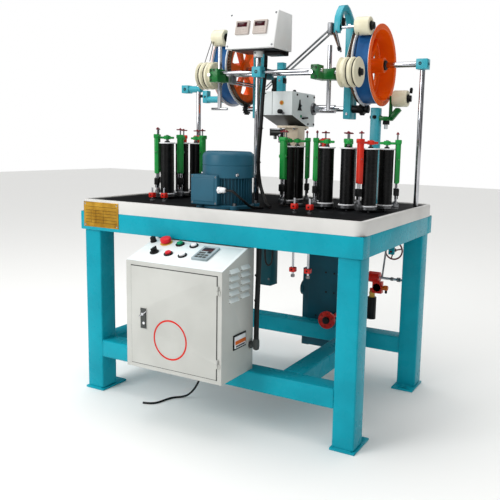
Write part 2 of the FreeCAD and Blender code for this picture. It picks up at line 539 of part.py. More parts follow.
for side, (across, way, shaft_ends) in capstans.items():
    # the gear ring faces the middle of the machine on both
    facing = Rotation(Vector(0, 0, 1), 0 if way > 0 else 180)
    wheel = turned("wheel_" + side, wheel_corners, across, "shaft_y", "capstan_z", facing)
    rim = turned("rim_" + side, rim_corners, across, "shaft_y", "capstan_z", facing)
    teeth = place(fixed("ring_" + side, ring_teeth), across, "shaft_y", "capstan_z",
                  Rotation(Vector(0, 1, 0), 90 * way))
    shaft = rod("capstan_shaft_" + side, shaft_ends, "shaft_y", "capstan_z", "shaft_radius")
    windows = place(fixed("windows_" + side, web_windows), across, "shaft_y", "capstan_z",
                    Rotation(Vector(0, 1, 0), 90 * way))
    opened = cut("wheel_open_" + side, wheel, [windows])
    node("capstan_" + side, together("capstan_group_" + side, [fuse("wheel_group_" + side, [opened, shaft]),
                                                               teeth, rim]))

pinion = toothed("pinion", int(number("pinion_teeth")), number("drive_module"), 5, number("wheel_face"), 15)
drive = [rod("drive_rod", ("capstan_turned - wheel_face - 6", "350"), "shaft_y", "drive_z", "shaft_radius"),
         rod("chrome_coupling", ("gearbox_right + 9", "200"), "shaft_y", "drive_z", "coupling_radius"),
         rod("black_coupling", ("bracket_right + 2", "capstan_left - 1"), "shaft_y", "drive_z", "16"),
         rod("end_collar", ("capstan_left + flange_right + 2", "350"), "shaft_y", "drive_z", "16")]
for side, (across, way, shaft_ends) in capstans.items():
    drive.append(place(fixed("pinion_" + side, pinion), across, "shaft_y", "drive_z",
                       Rotation(Vector(0, 1, 0), 90 * way)))
node("drive_shaft", fuse("drive_group", drive))

gearbox_case = prism("gearbox_case", "YZ_Plane", [("gearbox_front", "gearbox_low"), ("gearbox_front", "gearbox_top"),
                     ("gearbox_back", "gearbox_top"), ("gearbox_back", "gearbox_heel"),
                     ("gearbox_back - 70", "gearbox_heel")], "gearbox_left", "gearbox_right")
gearbox_shaft_hole = rod("gearbox_hole", ("gearbox_left - 20", "gearbox_right + 20"), "shaft_y", "drive_z",
                         "shaft_radius + running_gap")
bearing_right = rod("bearing_right", ("gearbox_right", "gearbox_right + 8"), "shaft_y", "drive_z", "25")
gearbox_knob = rod("gearbox_knob", "47", ("gearbox_front - 16", "gearbox_front"), "1143", "9")
stand = box("feeler_stand", ("-16", "12"), ("135", "165"), ("gearbox_top", "1346"))
stand_head = rod("feeler_head", "-28", "150", ("gearbox_top", "1286"), "14")
feeler_ends = ((Vector(15, 144, 1313), Vector(231, 118, 1466)), (Vector(15, 158, 1301), Vector(231, 132, 1454)))
rods_high = fixed("feeler_rods", Part.makeCompound([
    Part.makeCylinder(4, (end - start).Length, start, end - start) for start, end in feeler_ends]))
hang_rod = fixed("feeler_arm", Part.makeCylinder(4, 84, Vector(262, 98, 1452), Vector(0.3, 0, -1)))
gearbox_solid = cut("gearbox_cut", fuse("gearbox_solid", [gearbox_case, bearing_right, gearbox_knob]),
                    [gearbox_shaft_hole])
node("take_up_gearbox", together("gearbox_group", [gearbox_solid, fuse("stand_solid", [stand, stand_head]),
                                                   rods_high, hang_rod]))
node("gearbox_column", fuse("column_group", [
    box("column_post", ("32", "93"), ("125", "190"), ("bed_top", "1079")),
    box("column_arm", ("-40", "33"), ("126", "158"), ("1046", "1076")),
    box("column_cap", ("10", "95"), ("100", "222"), ("1079", "gearbox_heel"))]))

# ---- rollers -------------------------------------------------------------------------------------

groove_step = "roller_wide/3"
groove_corners = [("0", "bar_radius + running_gap"), ("0", "roller_radius")]
for index in range(3):
    middle = "%s*%s" % (groove_step, index + 0.5)
    groove_corners += [(middle + " - 9", "roller_radius"), (middle + " - 3", "roller_radius - groove_deep"),
                       (middle + " + 3", "roller_radius - groove_deep"), (middle + " + 9", "roller_radius")]
groove_corners += [("roller_wide", "roller_radius"), ("roller_wide", "bar_radius + running_gap")]
for side, shift in (("right", ""), ("left", " + pull_shift + 4")):
    node("groove_roller_" + side, turned("groove_body_" + side, groove_corners, "roller_left" + shift,
                                         "rear_bar_y", "bar_z"))


def plain_roller(label, radius, wide, across, deep, high):
    corners = [("0", "pin_radius + running_gap"), ("0", radius + " - 3"), ("3", radius), (wide + " - 3", radius),
               (wide, radius + " - 3"), (wide, "pin_radius + running_gap")]
    return node(label, turned(label + "_body", corners, across, deep, high))


plain_roller("top_roller_right", "top_roller_radius", "top_roller_wide", "top_roller_left", "top_roller_y",
             "top_roller_z")
plain_roller("top_roller_left", "top_roller_radius", "top_roller_wide", "left_roller_x", "left_roller_y",
             "left_roller_z")
plain_roller("low_roller", "low_roller_radius", "low_roller_wide", "low_roller_left", "low_roller_y",
             "low_roller_z")

# ---- counter box ---------------------------------------------------------------------------------

case_outer = prism("case_outer", "YZ_Plane", [("case_front_low", "post_top"), ("case_front_top", "case_top"),
                   ("case_back", "case_top"), ("case_back", "post_top")], "-case_half", "case_half")
case_inner = prism("case_inner", "YZ_Plane", [("case_front_low + case_wall", "post_top + case_wall"),
                   ("case_front_top + case_wall", "case_top - case_wall"),
                   ("case_back - case_wall", "case_top - case_wall"),
                   ("case_back - case_wall", "post_top + case_wall")], "case_wall - case_half", "case_half - case_wall")
node("counter_box", cut("counter_box_cut", case_outer, [case_inner]))
face_lean = "(case_front_top - case_front_low)/(case_top - post_top)"
counters = []
for side, sign in (("left", -1), ("right", 1)):
    face_low = "case_front_low + %s*(counter_low - post_top)" % face_lean
    face_top = "case_front_low + %s*(counter_top - post_top)" % face_lean
    counters.append(prism("counter_" + side, "YZ_Plane", [(face_low + " - 8", "counter_low"),
                    (face_top + " - 8", "counter_top"), (face_top, "counter_top"), (face_low, "counter_low")],
                    "%d*counter_centre - counter_wide/2" % sign, "%d*counter_centre + counter_wide/2" % sign))
node("counters", together("counters_group", counters))

# ---- control cabinet -----------------------------------------------------------------------------

shell_outer = prism("shell_outer", "YZ_Plane", [("cabinet_front", "rail_top"), ("cabinet_front", "slope_low"),
                    ("slope_back", "cabinet_top"), ("cabinet_back", "cabinet_top"), ("cabinet_back", "rail_top")],
                    "cabinet_left", "cabinet_right")
shell_inner = prism("shell_inner", "YZ_Plane", [("cabinet_front + cabinet_wall", "rail_top + cabinet_wall"),
                    ("cabinet_front + cabinet_wall", "slope_low - 1"), ("slope_back", "cabinet_top - cabinet_wall - 1"),
                    ("cabinet_back - cabinet_wall", "cabinet_top - cabinet_wall - 1"),
                    ("cabinet_back - cabinet_wall", "rail_top + cabinet_wall")],
                    "cabinet_left + cabinet_wall", "cabinet_right - cabinet_wall")
door_way = box("door_way", ("door_left + 8", "door_right - 8"), ("cabinet_front - 1", "cabinet_front + 6"),
               ("door_low + 8", "door_top - 8"))
lead_hole = rod("lead_hole", "-95", ("cabinet_back - 4", "cabinet_back + 2"), "250", "8")
slope_window = box("slope_window", ("cabinet_left + 3", "cabinet_right - 45"), ("cabinet_front + 20", "slope_back - 4"),
                   ("slope_low - 10", "cabinet_top + 4"))
hinge_parts = []
for index, low in enumerate(("270", "520")):
    hinge_parts.append(fuse("shell_knuckle_%d" % index, [
        rod("knuckle_%d" % index, "hinge_x", "hinge_y", (low, low + " + 14"), "hinge_radius"),
        box("knuckle_leaf_%d" % index, ("hinge_x", "hinge_x + 10"), ("cabinet_front - 3", "cabinet_front"),
            (low, low + " + 14"))]))
shell = cut("cabinet_cut", shell_outer, [shell_inner, door_way, lead_hole, slope_window])
conduit_fitting = box("conduit_fitting", ("cabinet_right", "cabinet_right + 40"), ("-377", "-349"), ("290", "326"))
node("cabinet_shell", fuse("cabinet_group", [shell, conduit_fitting] + hinge_parts))

door_sheet = box("door_sheet", ("door_left", "door_right"),
                 ("cabinet_front - 0.3 - door_thick", "cabinet_front - 0.3"), ("door_low", "door_top"))
latch_seat = box("latch_seat", ("-163", "-136"), ("cabinet_front - 6", "cabinet_front - 3"), ("360", "435"))
door_knuckles = []
for index, low in enumerate(("285", "535")):
    door_knuckles += [rod("door_knuckle_%d" % index, "hinge_x", "hinge_y", (low, low + " + 14"), "hinge_radius"),
                      box("door_leaf_%d" % index, ("door_right - 2", "hinge_x"),
                          ("cabinet_front - 3.3", "cabinet_front - 1.3"), (low, low + " + 14"))]
node("cabinet_door", fuse("door_group", [door_sheet, latch_seat] + door_knuckles))
node("door_latch", fuse("latch_group", [
    box("latch_paddle", ("-160", "-139"), ("cabinet_front - 11", "cabinet_front - 6.3"), ("372", "428")),
    rod("latch_pin", ("-161", "-138"), "cabinet_front - 8.65", "428", "2.35")]))

tilt = Rotation(Vector(1, 0, 0), number("panel_tilt"))


def on_slope(thing):
    # a piece drawn in the panel's own frame: u = X, v up the slope, w out of it
    return place(thing, "0", "cabinet_front", "slope_low", tilt)


slope_length = "(slope_back - cabinet_front)/cos(panel_tilt*1 deg)"
panel_sheet = box("panel_sheet", ("cabinet_left", "cabinet_right"), ("2", slope_length + " - 2"),
                  ("0", "panel_thick"))
button_places = {"estop_button": ("stop_x", "upper_row"), "green_button": ("start_x", "upper_row"),
                 "red_button": ("start_x", "lower_row"), "white_button": ("lamp_x", "lower_row")}
panel_holes = [rod("hole_" + name, across, deep, ("-1", "panel_thick + 8"), "button_radius + 0.4")
               for name, (across, deep) in button_places.items()]
panel_holes += [rod("hole_selector", "stop_x", "lower_row", ("-1", "panel_thick + 8"), "6.3"),
                rod("hole_knob", "knob_x", "upper_row", ("-1", "panel_thick + 8"), "4.3"),
                rod("hole_lamp", "lamp_x", "upper_row", ("-1", "panel_thick + 8"), "button_radius")]
bezels = [rod("bezel_" + name, across, deep, ("panel_thick - 1", "panel_thick + 4"), "bezel_radius")
          for name, (across, deep) in button_places.items() if name != "estop_button"]
bezels += [rod("bezel_selector", "stop_x", "lower_row", ("panel_thick - 1", "panel_thick + 4"), "bezel_radius"),
           rod("bezel_lamp", "lamp_x", "upper_row", ("panel_thick - 1", "panel_thick + 4"), "bezel_radius"),
           rod("stop_plate", "stop_x", "upper_row", ("panel_thick - 1", "panel_thick + 2"), "23")]
panel_group = cut("panel_cut", fuse("panel_solid", [panel_sheet] + bezels), panel_holes)
node("control_panel", on_slope(together("panel_group", [panel_group])))
for name, (across, deep) in button_places.items():
    stem = rod("stem_" + name, across, deep, ("-8", "panel_thick + 4 + button_height"), "button_radius")
    if name == "estop_button":
        stem = fuse("mushroom", [rod("stop_stem", across, deep, ("-8", "panel_thick + 16"), "button_radius"),
                                 rod("stop_cap", across, deep, ("panel_thick + 7", "panel_thick + 23"), "20")])
    node(name, on_slope(together(name + "_group", [stem])))
node("power_lamp", on_slope(together("lamp_group", [
    rod("lamp_lens", "lamp_x", "upper_row", ("-4", "panel_thick + 11"), "button_radius - 0.05")])))
node("selector_switch", on_slope(fuse("selector_group", [
    rod("selector_stem", "stop_x", "lower_row", ("-6", "panel_thick + 7"), "6"),
    rod("selector_skirt", "stop_x", "lower_row", ("panel_thick + 4.3", "panel_thick + 9"), "12"),
    box("selector_grip", ("stop_x - 3.5", "stop_x + 3.5"), ("lower_row - 14", "lower_row + 14"),
        ("panel_thick + 8", "panel_thick + 21"))])))
node("speed_knob", on_slope(fuse("knob_group", [
    rod("knob_stem", "knob_x", "upper_row", ("-6", "panel_thick + 3"), "4"),
    rod("knob_cap", "knob_x", "upper_row", ("panel_thick + 0.4", "panel_thick + 20"), "12")])))
node("speed_keypad", on_slope(together("keypad_group", [
    box("keypad_block", ("keypad_left", "keypad_right"), ("keypad_low", "keypad_top"),
        ("panel_thick", "panel_thick + 9"))])))

# ---- parts under the bed -------------------------------------------------------------------------

column = [box("column_case", ("column_left", "column_right"), ("column_front", "column_back"), ("column_low", "648")),
          box("column_flange", ("column_left", "column_right"), ("335", "column_back"), ("648", "apron_low")),
          box("column_side", ("0", "column_left"), ("400", "460"), ("72", "440")),
          rod("column_boss", ("-10", "4"), "430", "340", "34")]
disc_bore = rod("disc_bore", "disc_x", ("column_front - 1", "column_front + 41"), "disc_z", "10 + running_gap")
node("drive_column", cut("drive_column_cut", fuse("column_solid", column), [disc_bore]))
node("flange_disc", fuse("disc_group", [
    rod("disc_plate", "disc_x", ("disc_front", "disc_front + 12"), "disc_z", "disc_radius"),
    rod("disc_hub", "disc_x", ("disc_front - 10", "disc_front + 24"), "disc_z", "16"),
    rod("disc_shaft", "disc_x", ("disc_front", "column_front + 40"), "disc_z", "10")]))

hand_rim = doc.addObject("Part::Torus", "hand_rim")
hand_rim.setExpression("Radius1", bound("hand_wheel_radius - 3.5"))
hand_rim.setExpression("Radius2", bound("3.5"))
place(hand_rim, "wheel_x", "wheel_front", "wheel_z", Rotation(Vector(1, 0, 0), -90))
spokes = []
for index in range(3):
    spoke = rod("hand_spoke_%d" % index, "0", "0", ("0", "hand_wheel_radius - 4"), "3")
    place(spoke, "wheel_x", "wheel_front", "wheel_z", Rotation(Vector(0, 1, 0), 120 * index + 75))
    spokes.append(spoke)
node("handwheel", fuse("handwheel_group", [
    hand_rim, rod("hand_hub", "wheel_x", ("wheel_front - 10", "wheel_front + 10"), "wheel_z", "10"),
    rod("hand_shaft", "wheel_x", ("377", "wheel_front"), "wheel_z", "5")] + spokes))
hand_bore = rod("hand_bore", "wheel_x", ("370", "400"), "wheel_z", "5 + running_gap")
hand_bracket = box("hand_bracket", ("wheel_x - 12", "wheel_x + 12"), ("376", "390"), ("550", "apron_low"))
cross_shaft = rod("cross_shaft", ("column_right", "485"), "400", "438", "6")
valve = [rod("valve_sleeve", ("330", "378"), "400", "438", "24"),
         box("valve_body", ("350", "392"), ("386", "414"), ("368", "420")),
         rod("valve_nut", "346", "400", ("345", "385"), "12"),
         rod("valve_bulb", "346", "400", ("247", "346"), "20"),
         rod("valve_knob", ("391", "416"), "400", "392", "9")]
lever = fixed("valve_lever", Part.makeCylinder(4, 214, Vector(390, 398, 440), Vector(0.12, -0.06, 1)))
hang_box = box("hanging_box", ("-122", "-46"), ("170", "230"), ("390", "bed_top - bed_thick"))
node("underside_drive", together("underside_group", [cut("hand_bracket_cut", hand_bracket, [hand_bore]),
                                                     fuse("valve_solid", [cross_shaft, lever] + valve), hang_box]))

# ---- cables --------------------------------------------------------------------------------------

counter_conduit = tube("counter_conduit", [(18, -16, 1369), (18, -16, 1330), (17, -20, 1262), (19, -38, 1190),
                       (25, -52, 1120), (26, -64, 1046), (21, -66, 967), (22, -67, 905), (37, -76, 850),
                       (76, -112, 806), (112, -158, 786), (150, -198, 784)], number("conduit_radius"))
motor_cable = tube("motor_cable", [(54, -342, 846), (80, -342, 846), (108, -328, 818), (118, -288, 790),
                   (118, -248, 781), (132, -214, 781)], number("cable_radius"))
cabinet_conduit = tube("cabinet_conduit", [(205, -362, 660), (205, -362, 590), (202, -363, 505),
                       (200, -363, 416), (200, -363, 326)], 9)
loop_cable = tube("loop_cable", [(222, -350, 660), (222, -350, 628), (226, -350, 604), (237, -350, 595),
                  (248, -350, 606), (252, -350, 630), (252, -350, 660)], 3)
node("held_cables", together("cables_group", [counter_conduit, motor_cable, cabinet_conduit, loop_cable]))
node("lead_gland", rod("gland_body", "-95", ("cabinet_back - 4", "cabinet_back + 20"), "250", "8"))
lead_route = [(-95, -325, 250), (-95, -297, 250), (-96, -268, 232), (-98, -258, 185), (-102, -260, 135),
              (-112, -266, 88), (-130, -274, 48), (-160, -276, 16), (-190, -282, 4), (-214, -300, 4),
              (-226, -332, 4), (-232, -370, 4), (-252, -396, 4), (-282, -403, 4)]
node("mains_lead", tube("mains_lead_tube", lead_route, number("lead_radius")))

# ---- check and write -----------------------------------------------------------------------------

doc.recompute()
for thing in doc.Objects:
    if "Invalid" in thing.State or "Error" in thing.State:
        raise RuntimeError("failed: " + thing.Name + " " + str(thing.State))
os.makedirs("parts", exist_ok=True)
for thing in nodes:
    if thing.Shape.isNull() or not thing.Shape.isValid():
        raise RuntimeError("bad shape: " + thing.Label)
    thing.Shape.exportStep("parts/%s.step" % thing.Label)
print(len(nodes), "sub-parts")
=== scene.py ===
import bpy
import json
import math
from mathutils import Matrix, Vector


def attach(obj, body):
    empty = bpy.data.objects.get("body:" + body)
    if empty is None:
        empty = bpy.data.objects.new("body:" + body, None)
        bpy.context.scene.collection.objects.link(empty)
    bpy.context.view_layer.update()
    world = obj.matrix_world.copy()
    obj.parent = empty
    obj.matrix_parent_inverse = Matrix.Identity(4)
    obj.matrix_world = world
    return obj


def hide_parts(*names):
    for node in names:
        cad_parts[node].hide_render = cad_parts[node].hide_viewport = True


# A two-head braiding machine, dressed over its CAD frame. Sizes below are in millimetres unless noted.
mm = 0.001

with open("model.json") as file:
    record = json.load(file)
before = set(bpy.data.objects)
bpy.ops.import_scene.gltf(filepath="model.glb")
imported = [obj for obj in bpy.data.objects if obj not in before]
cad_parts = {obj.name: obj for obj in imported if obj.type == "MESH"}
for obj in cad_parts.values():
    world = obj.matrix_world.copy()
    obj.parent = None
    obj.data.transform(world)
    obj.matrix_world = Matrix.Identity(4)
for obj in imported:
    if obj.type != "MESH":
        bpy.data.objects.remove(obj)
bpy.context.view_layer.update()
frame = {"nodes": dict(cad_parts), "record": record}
scene = bpy.context.scene
bpy.ops.object.select_all(action="DESELECT")

# camera, light and floor

cameraView = {"place": (1.3259, -2.2687, 1.0243), "yaw": 27.045, "pitch": -8.374, "roll": 1.475,
              "lens": 46.53, "shift": (-0.0947, -0.0265)}


def lookMatrix(view):
    yaw, pitch, roll = (math.radians(view[key]) for key in ("yaw", "pitch", "roll"))
    ahead = Vector((-math.sin(yaw) * math.cos(pitch), math.cos(yaw) * math.cos(pitch), math.sin(pitch)))
    level = Vector((math.cos(yaw), math.sin(yaw), 0))
    above = level.cross(ahead)
    right = math.cos(roll) * level + math.sin(roll) * above
    up = math.cos(roll) * above - math.sin(roll) * level
    turn = Matrix((right, up, -ahead)).transposed()
    return Matrix.Translation(view["place"]) @ turn.to_4x4()


cameraData = bpy.data.cameras.new("camera")
cameraData.sensor_width = 36
cameraData.lens = cameraView["lens"]
cameraData.shift_x, cameraData.shift_y = cameraView["shift"]
camera = bpy.data.objects.new("camera", cameraData)
scene.collection.objects.link(camera)
camera.matrix_world = lookMatrix(cameraView)
scene.camera = camera

lights = {"key": {"place": (-1.9, -3.6, 2.6), "aim": (0, 0, 0.7), "size": 2.0, "power": 72},
          "top": {"place": (-0.3, -0.2, 3.9), "aim": (0, 0, 0.8), "size": 2.6, "power": 48}}
for name, light in lights.items():
    lamp = bpy.data.lights.new(name, "AREA")
    lamp.size = light["size"]
    lamp.energy = light["power"]
    holder = bpy.data.objects.new(name, lamp)
    scene.collection.objects.link(holder)
    aim = Vector(light["aim"]) - Vector(light["place"])
    holder.matrix_world = Matrix.Translation(light["place"]) @ aim.to_track_quat("-Z",
                                                                                 "Y").to_matrix().to_4x4()

scene.view_settings.view_transform = "Standard"

# finishes


def hexColour(code):
    # sRGB hex to linear
    parts = [int(code[index:index + 2], 16) / 255 for index in (1, 3, 5)]
    return tuple(part / 12.92 if part <= 0.04045 else ((part + 0.055) / 1.055) ** 2.4 for part in parts) + (1,)


def addNode(tree, kind, sockets=None, **settings):
    node = tree.nodes.new(kind)
    for name, value in settings.items():
        setattr(node, name, value)
    for name, value in (sockets or {}).items():
        if isinstance(value, bpy.types.NodeSocket):
            tree.links.new(value, node.inputs[name])
        else:
            node.inputs[name].default_value = value
    return node


studio = {"bright": 1.0, "shade": 0.5,
          "flags": 5}  # the room is dimmer towards +X, so right faces read darker
world = bpy.data.worlds.new("studio")
world.use_nodes = True
room = world.node_tree
toward = addNode(room, "ShaderNodeTexCoord")
axes = addNode(room, "ShaderNodeSeparateXYZ", {"Vector": toward.outputs["Generated"]})
dim = addNode(room, "ShaderNodeMapRange", {"Value": axes.outputs["X"], "From Min": -0.15, "From Max": 0.75,
                                           "To Min": studio["bright"], "To Max": studio["shade"]})
# dark flags round the room, seen only in reflections, so polished rods get dark edges
around = addNode(room, "ShaderNodeMath", {0: axes.outputs["Y"], 1: axes.outputs["X"]}, operation="ARCTAN2")
flags = addNode(room, "ShaderNodeMath", {0: around.outputs[0], 1: studio["flags"]}, operation="MULTIPLY")
wave = addNode(room, "ShaderNodeMath", {0: flags.outputs[0]}, operation="SINE")
band = addNode(room, "ShaderNodeMapRange", {"Value": wave.outputs[0], "From Min": 0.0, "From Max": 0.4,
                                            "To Min": 0.03, "To Max": 1.0})
path = addNode(room, "ShaderNodeLightPath")
mirrored = addNode(room, "ShaderNodeMapRange", {"Value": path.outputs["Is Glossy Ray"], "To Min": 1.0,
                                                "To Max": band.outputs["Result"]})
power = addNode(room, "ShaderNodeMath", {0: dim.outputs["Result"], 1: mirrored.outputs["Result"]},
                operation="MULTIPLY")
room.links.new(power.outputs[0], room.nodes["Background"].inputs["Strength"])
room.nodes["Background"].inputs["Color"].default_value = (1, 1, 1, 1)
scene.world = world


def startFinish(name, metallic=0.0, coat=0.0, coatRough=0.1, ior=1.5, gloss=0.25):
    material = bpy.data.materials.new(name)
    material.use_nodes = True
    tree = material.node_tree
    shader = tree.nodes["Principled BSDF"]
    shader.inputs["Metallic"].default_value = metallic
    shader.inputs["Coat Weight"].default_value = coat
    shader.inputs["Coat Roughness"].default_value = coatRough
    if not metallic:
        shader.inputs["IOR"].default_value = ior
        shader.inputs["Specular IOR Level"].default_value = gloss
    place = addNode(tree, "ShaderNodeTexCoord")
    return material, tree, shader, place.outputs["Object"]


def setRamp(ramp, stops):
    # stops are (position, hex or grey)
    elements = ramp.color_ramp.elements
    while len(elements) < len(stops):
        elements.new(0.5)
    for element, (position, value) in zip(elements, stops):
        element.position = position
        element.color = hexColour(value) if isinstance(value, str) else (value, value, value, 1)


def perMm(size):
    # noise scale whose features are about this many millimetres
    return 1000 / size


def addColour(tree, shader, place, size, detail, stops):
    # two tones by soft patches of about this size
    cloud = addNode(tree, "ShaderNodeTexNoise", {"Vector": place, "Scale": perMm(size), "Detail": detail})
    ramp = addNode(tree, "ShaderNodeValToRGB", {"Fac": cloud.outputs["Fac"]})
    setRamp(ramp, stops)
    tree.links.new(ramp.outputs["Color"], shader.inputs["Base Color"])
    return cloud.outputs["Fac"], ramp.outputs["Color"]


def addSurface(tree, shader, wear, rough, height, depth, reach):
    # roughness between two values by the wear, and a bump by the height
    sheen = addNode(tree, "ShaderNodeMapRange", {"Value": wear, "To Min": rough[0], "To Max": rough[1]})
    tree.links.new(sheen.outputs["Result"], shader.inputs["Roughness"])
    bump = addNode(tree, "ShaderNodeBump", {"Height": height, "Strength": depth, "Distance": reach})
    tree.links.new(bump.outputs["Normal"], shader.inputs["Normal"])


def enamelFinish(name, main, dull, rough=(0.22, 0.34), peelMm=2.4, peelDepth=0.05, coat=0.04, chip=None,
                 gloss=0.25):
    # brushed or sprayed enamel on steel: a wet gloss over faint orange peel, cloudy by a few per cent,
    # with small dark knocks where chip is given
    material, tree, shader, place = startFinish(name, coat=coat, coatRough=0.12, gloss=gloss)
    colour = addColour(tree, shader, place, 140, 3.0, [(0.34, dull), (0.62, main)])[1]
    if chip:
        speck = addNode(tree, "ShaderNodeTexNoise", {"Vector": place, "Scale": perMm(16), "Detail": 5.0,
                                                     "Roughness": 0.7})
        mask = addNode(tree, "ShaderNodeValToRGB", {"Fac": speck.outputs["Fac"]})
        setRamp(mask, [(0.735, 0.0), (0.75, 0.85)])
        mixed = addNode(tree, "ShaderNodeMix", {0: mask.outputs["Color"], 6: colour, 7: hexColour(chip)},
                        data_type="RGBA")  # 0 is the factor, 6 and 7 the two colours
        tree.links.new(mixed.outputs[2], shader.inputs["Base Color"])
    wipe = addNode(tree, "ShaderNodeTexNoise", {"Vector": place, "Scale": perMm(60), "Detail": 4.0})
    peel = addNode(tree, "ShaderNodeTexNoise", {"Vector": place, "Scale": perMm(peelMm), "Detail": 2.0})
    addSurface(tree, shader, wipe.outputs["Fac"], rough, peel.outputs["Fac"], peelDepth, 0.0006)
    return material


def metalFinish(name, main, dull, rough=(0.16, 0.3), lie=(1, 1, 1), lineMm=1.2, depth=0.03):
    # bare or plated metal: tool lines stretched along the lie, brighter and duller by patches
    material, tree, shader, place = startFinish(name, metallic=1.0)
    stretch = addNode(tree, "ShaderNodeMapping", {"Vector": place, "Scale": lie})
    line = addNode(tree, "ShaderNodeTexNoise", {"Vector": stretch.outputs["Vector"], "Scale": perMm(lineMm),
                                                "Detail": 3.0})
    addColour(tree, shader, place, 45, 4.0, [(0.35, dull), (0.6, main)])
    addSurface(tree, shader, line.outputs["Fac"], rough, line.outputs["Fac"], depth, 0.0004)
    return material


def mouldedFinish(name, main, dull, rough=(0.3, 0.42), grainMm=1.0, depth=0.06, ior=1.46):
    # injection-moulded or cast plastic: an even colour, a fine spark grain and a soft highlight
    material, tree, shader, place = startFinish(name, ior=ior)
    cloud = addColour(tree, shader, place, 30, 3.0, [(0.3, dull), (0.6, main)])[0]
    grain = addNode(tree, "ShaderNodeTexVoronoi", {"Vector": place, "Scale": perMm(grainMm)})
    addSurface(tree, shader, cloud, rough, grain.outputs["Distance"], depth, 0.0003)
    return material


def yarnFinish(name):
    # black filament yarn wound in close turns: fine rings round the bobbin, crossed at a slight angle,
    # and a narrow soft gleam down its length
    material, tree, shader, place = startFinish(name, gloss=0.22)
    shader.inputs["Sheen Weight"].default_value = 0.04
    turns = addNode(tree, "ShaderNodeTexWave",
                    {"Vector": place, "Scale": perMm(2.4) / 6.3, "Distortion": 1.4,
                                                "Detail": 2.0}, wave_type="BANDS", bands_direction="Z")
    addColour(tree, shader, place, 22, 3.0, [(0.35, "#030303"), (0.7, "#0E0F11")])
    addSurface(tree, shader, turns.outputs["Fac"], (0.2, 0.36), turns.outputs["Fac"], 0.35, 0.0004)
    return material


finish = {made.name: made for made in (
    enamelFinish("tealEnamel", "#119CAF", "#0F90A3", chip="#0E4450", coat=0.0, gloss=0.1),
    enamelFinish("greyWhiteEnamel", "#D2D1CE", "#C9C8C5", rough=(0.3, 0.42)),
    enamelFinish("blackenedBed", "#17181A", "#0F1012", rough=(0.4, 0.62), coat=0.0, gloss=0.06),
    metalFinish("brassSheet", "#C79A3A", "#A67A28", rough=(0.28, 0.4), lie=(1, 1, 12)),
    metalFinish("machinedSteel", "#8F9194", "#6E7073", rough=(0.3, 0.46)),
    metalFinish("brightChrome", "#C9CACF", "#B4B5BB", rough=(0.06, 0.12), depth=0.01),
    enamelFinish("motorEnamel", "#245D73", "#1F5165", rough=(0.34, 0.5), coat=0.02,
        peelMm=1.6, peelDepth=0.12),
    enamelFinish("turquoiseEnamel", "#3FA9BA", "#349BAC", chip="#1E5560"),
    enamelFinish("greenEnamel", "#12702F", "#0E5F28", chip="#0A2E16"),
    enamelFinish("orangeEnamel", "#EE6208", "#E05404", chip="#8A3A0A"),
    mouldedFinish("creamNylon", "#E2DDC4", "#DAD3B6", rough=(0.26, 0.36)),
    enamelFinish("paleGreyEnamel", "#C0C1BC", "#B8B9B4", rough=(0.34, 0.46), coat=0.0,
        peelMm=1.4, peelDepth=0.14),
    mouldedFinish("redPlastic", "#D3202A", "#C21B25"),
    mouldedFinish("greenPlastic", "#0C9467", "#0A835B"),
    mouldedFinish("whitePlastic", "#E9EAEC", "#DEDFE1"),
    mouldedFinish("blackPlastic", "#151617", "#0D0E0F", rough=(0.32, 0.5)),
    mouldedFinish("darkDisplay", "#3C0A12", "#20060B", rough=(0.08, 0.14)),
    enamelFinish("redEnamel", "#D62418", "#C41E14"),
    enamelFinish("maroonEnamel", "#7E1F2A", "#6B1822"),
    yarnFinish("blackYarn"),
    mouldedFinish("leadJacket", "#18191A", "#101112", rough=(0.4, 0.55)),
    mouldedFinish("blueLagging", "#1D5C97", "#17508A", rough=(0.4, 0.55), grainMm=2.0, depth=0.2),
    enamelFinish("towerGreen", "#1F9A45", "#188238", rough=(0.24, 0.36)),
    enamelFinish("towerRed", "#D2301F", "#BE2518", rough=(0.24, 0.36)),
    enamelFinish("boxWhite", "#EBECEB", "#E2E3E2", rough=(0.34, 0.46)),
    mouldedFinish("warmGreyPlastic", "#B9AFA8", "#ADA39B"),
    metalFinish("gearBrown", "#6B5648", "#4A382D", rough=(0.35, 0.5)),
    enamelFinish("deepTeal", "#0C5560", "#0A4852", rough=(0.34, 0.5)),
    mouldedFinish("yellowPlastic", "#D9B04A", "#CBA23C"),
    mouldedFinish("orangePlastic", "#D5661A", "#C65A12"),
    enamelFinish("creamEnamel", "#EFE0C8", "#E4D3B8", rough=(0.34, 0.46)),
    mouldedFinish("silverPlastic", "#9AA9AE", "#8A999E"),
    enamelFinish("panelWhiteAndLouvreHighlight", "#E4EAEA", "#DBE2E2", rough=(0.36, 0.46)),
    enamelFinish("darkSheetAndGapShade", "#4A4D4B", "#3E4140", rough=(0.4, 0.55)),
    mouldedFinish("whiteBraid", "#E9E7E2", "#D8D5CD", rough=(0.7, 0.85), grainMm=1.6, depth=0.4),
    mouldedFinish("darkBraid", "#1A1512", "#0E0B0A", rough=(0.7, 0.85), grainMm=1.6, depth=0.4),
    enamelFinish("darkCasting", "#0B5668", "#094857", rough=(0.38, 0.55), peelMm=3.0,
        peelDepth=0.2),
)}
slotFinish = {"teal_paint": "tealEnamel", "cream_paint": "greyWhiteEnamel", "black_bed": "blackenedBed",
              "brass_plate": "brassSheet", "steel": "machinedSteel", "chrome": "brightChrome",
              "motor_paint": "motorEnamel", "turquoise_paint": "turquoiseEnamel",
              "green_paint": "greenEnamel",
              "orange_paint": "orangeEnamel", "cream_plastic": "creamNylon", "grey_paint": "paleGreyEnamel",
              "red_plastic": "redPlastic", "green_plastic": "greenPlastic", "white_plastic": "whitePlastic",
              "black_plastic": "blackPlastic", "display": "darkDisplay", "red_paint": "redEnamel",
              "maroon_paint": "maroonEnamel", "yarn": "blackYarn", "rubber": "leadJacket"}
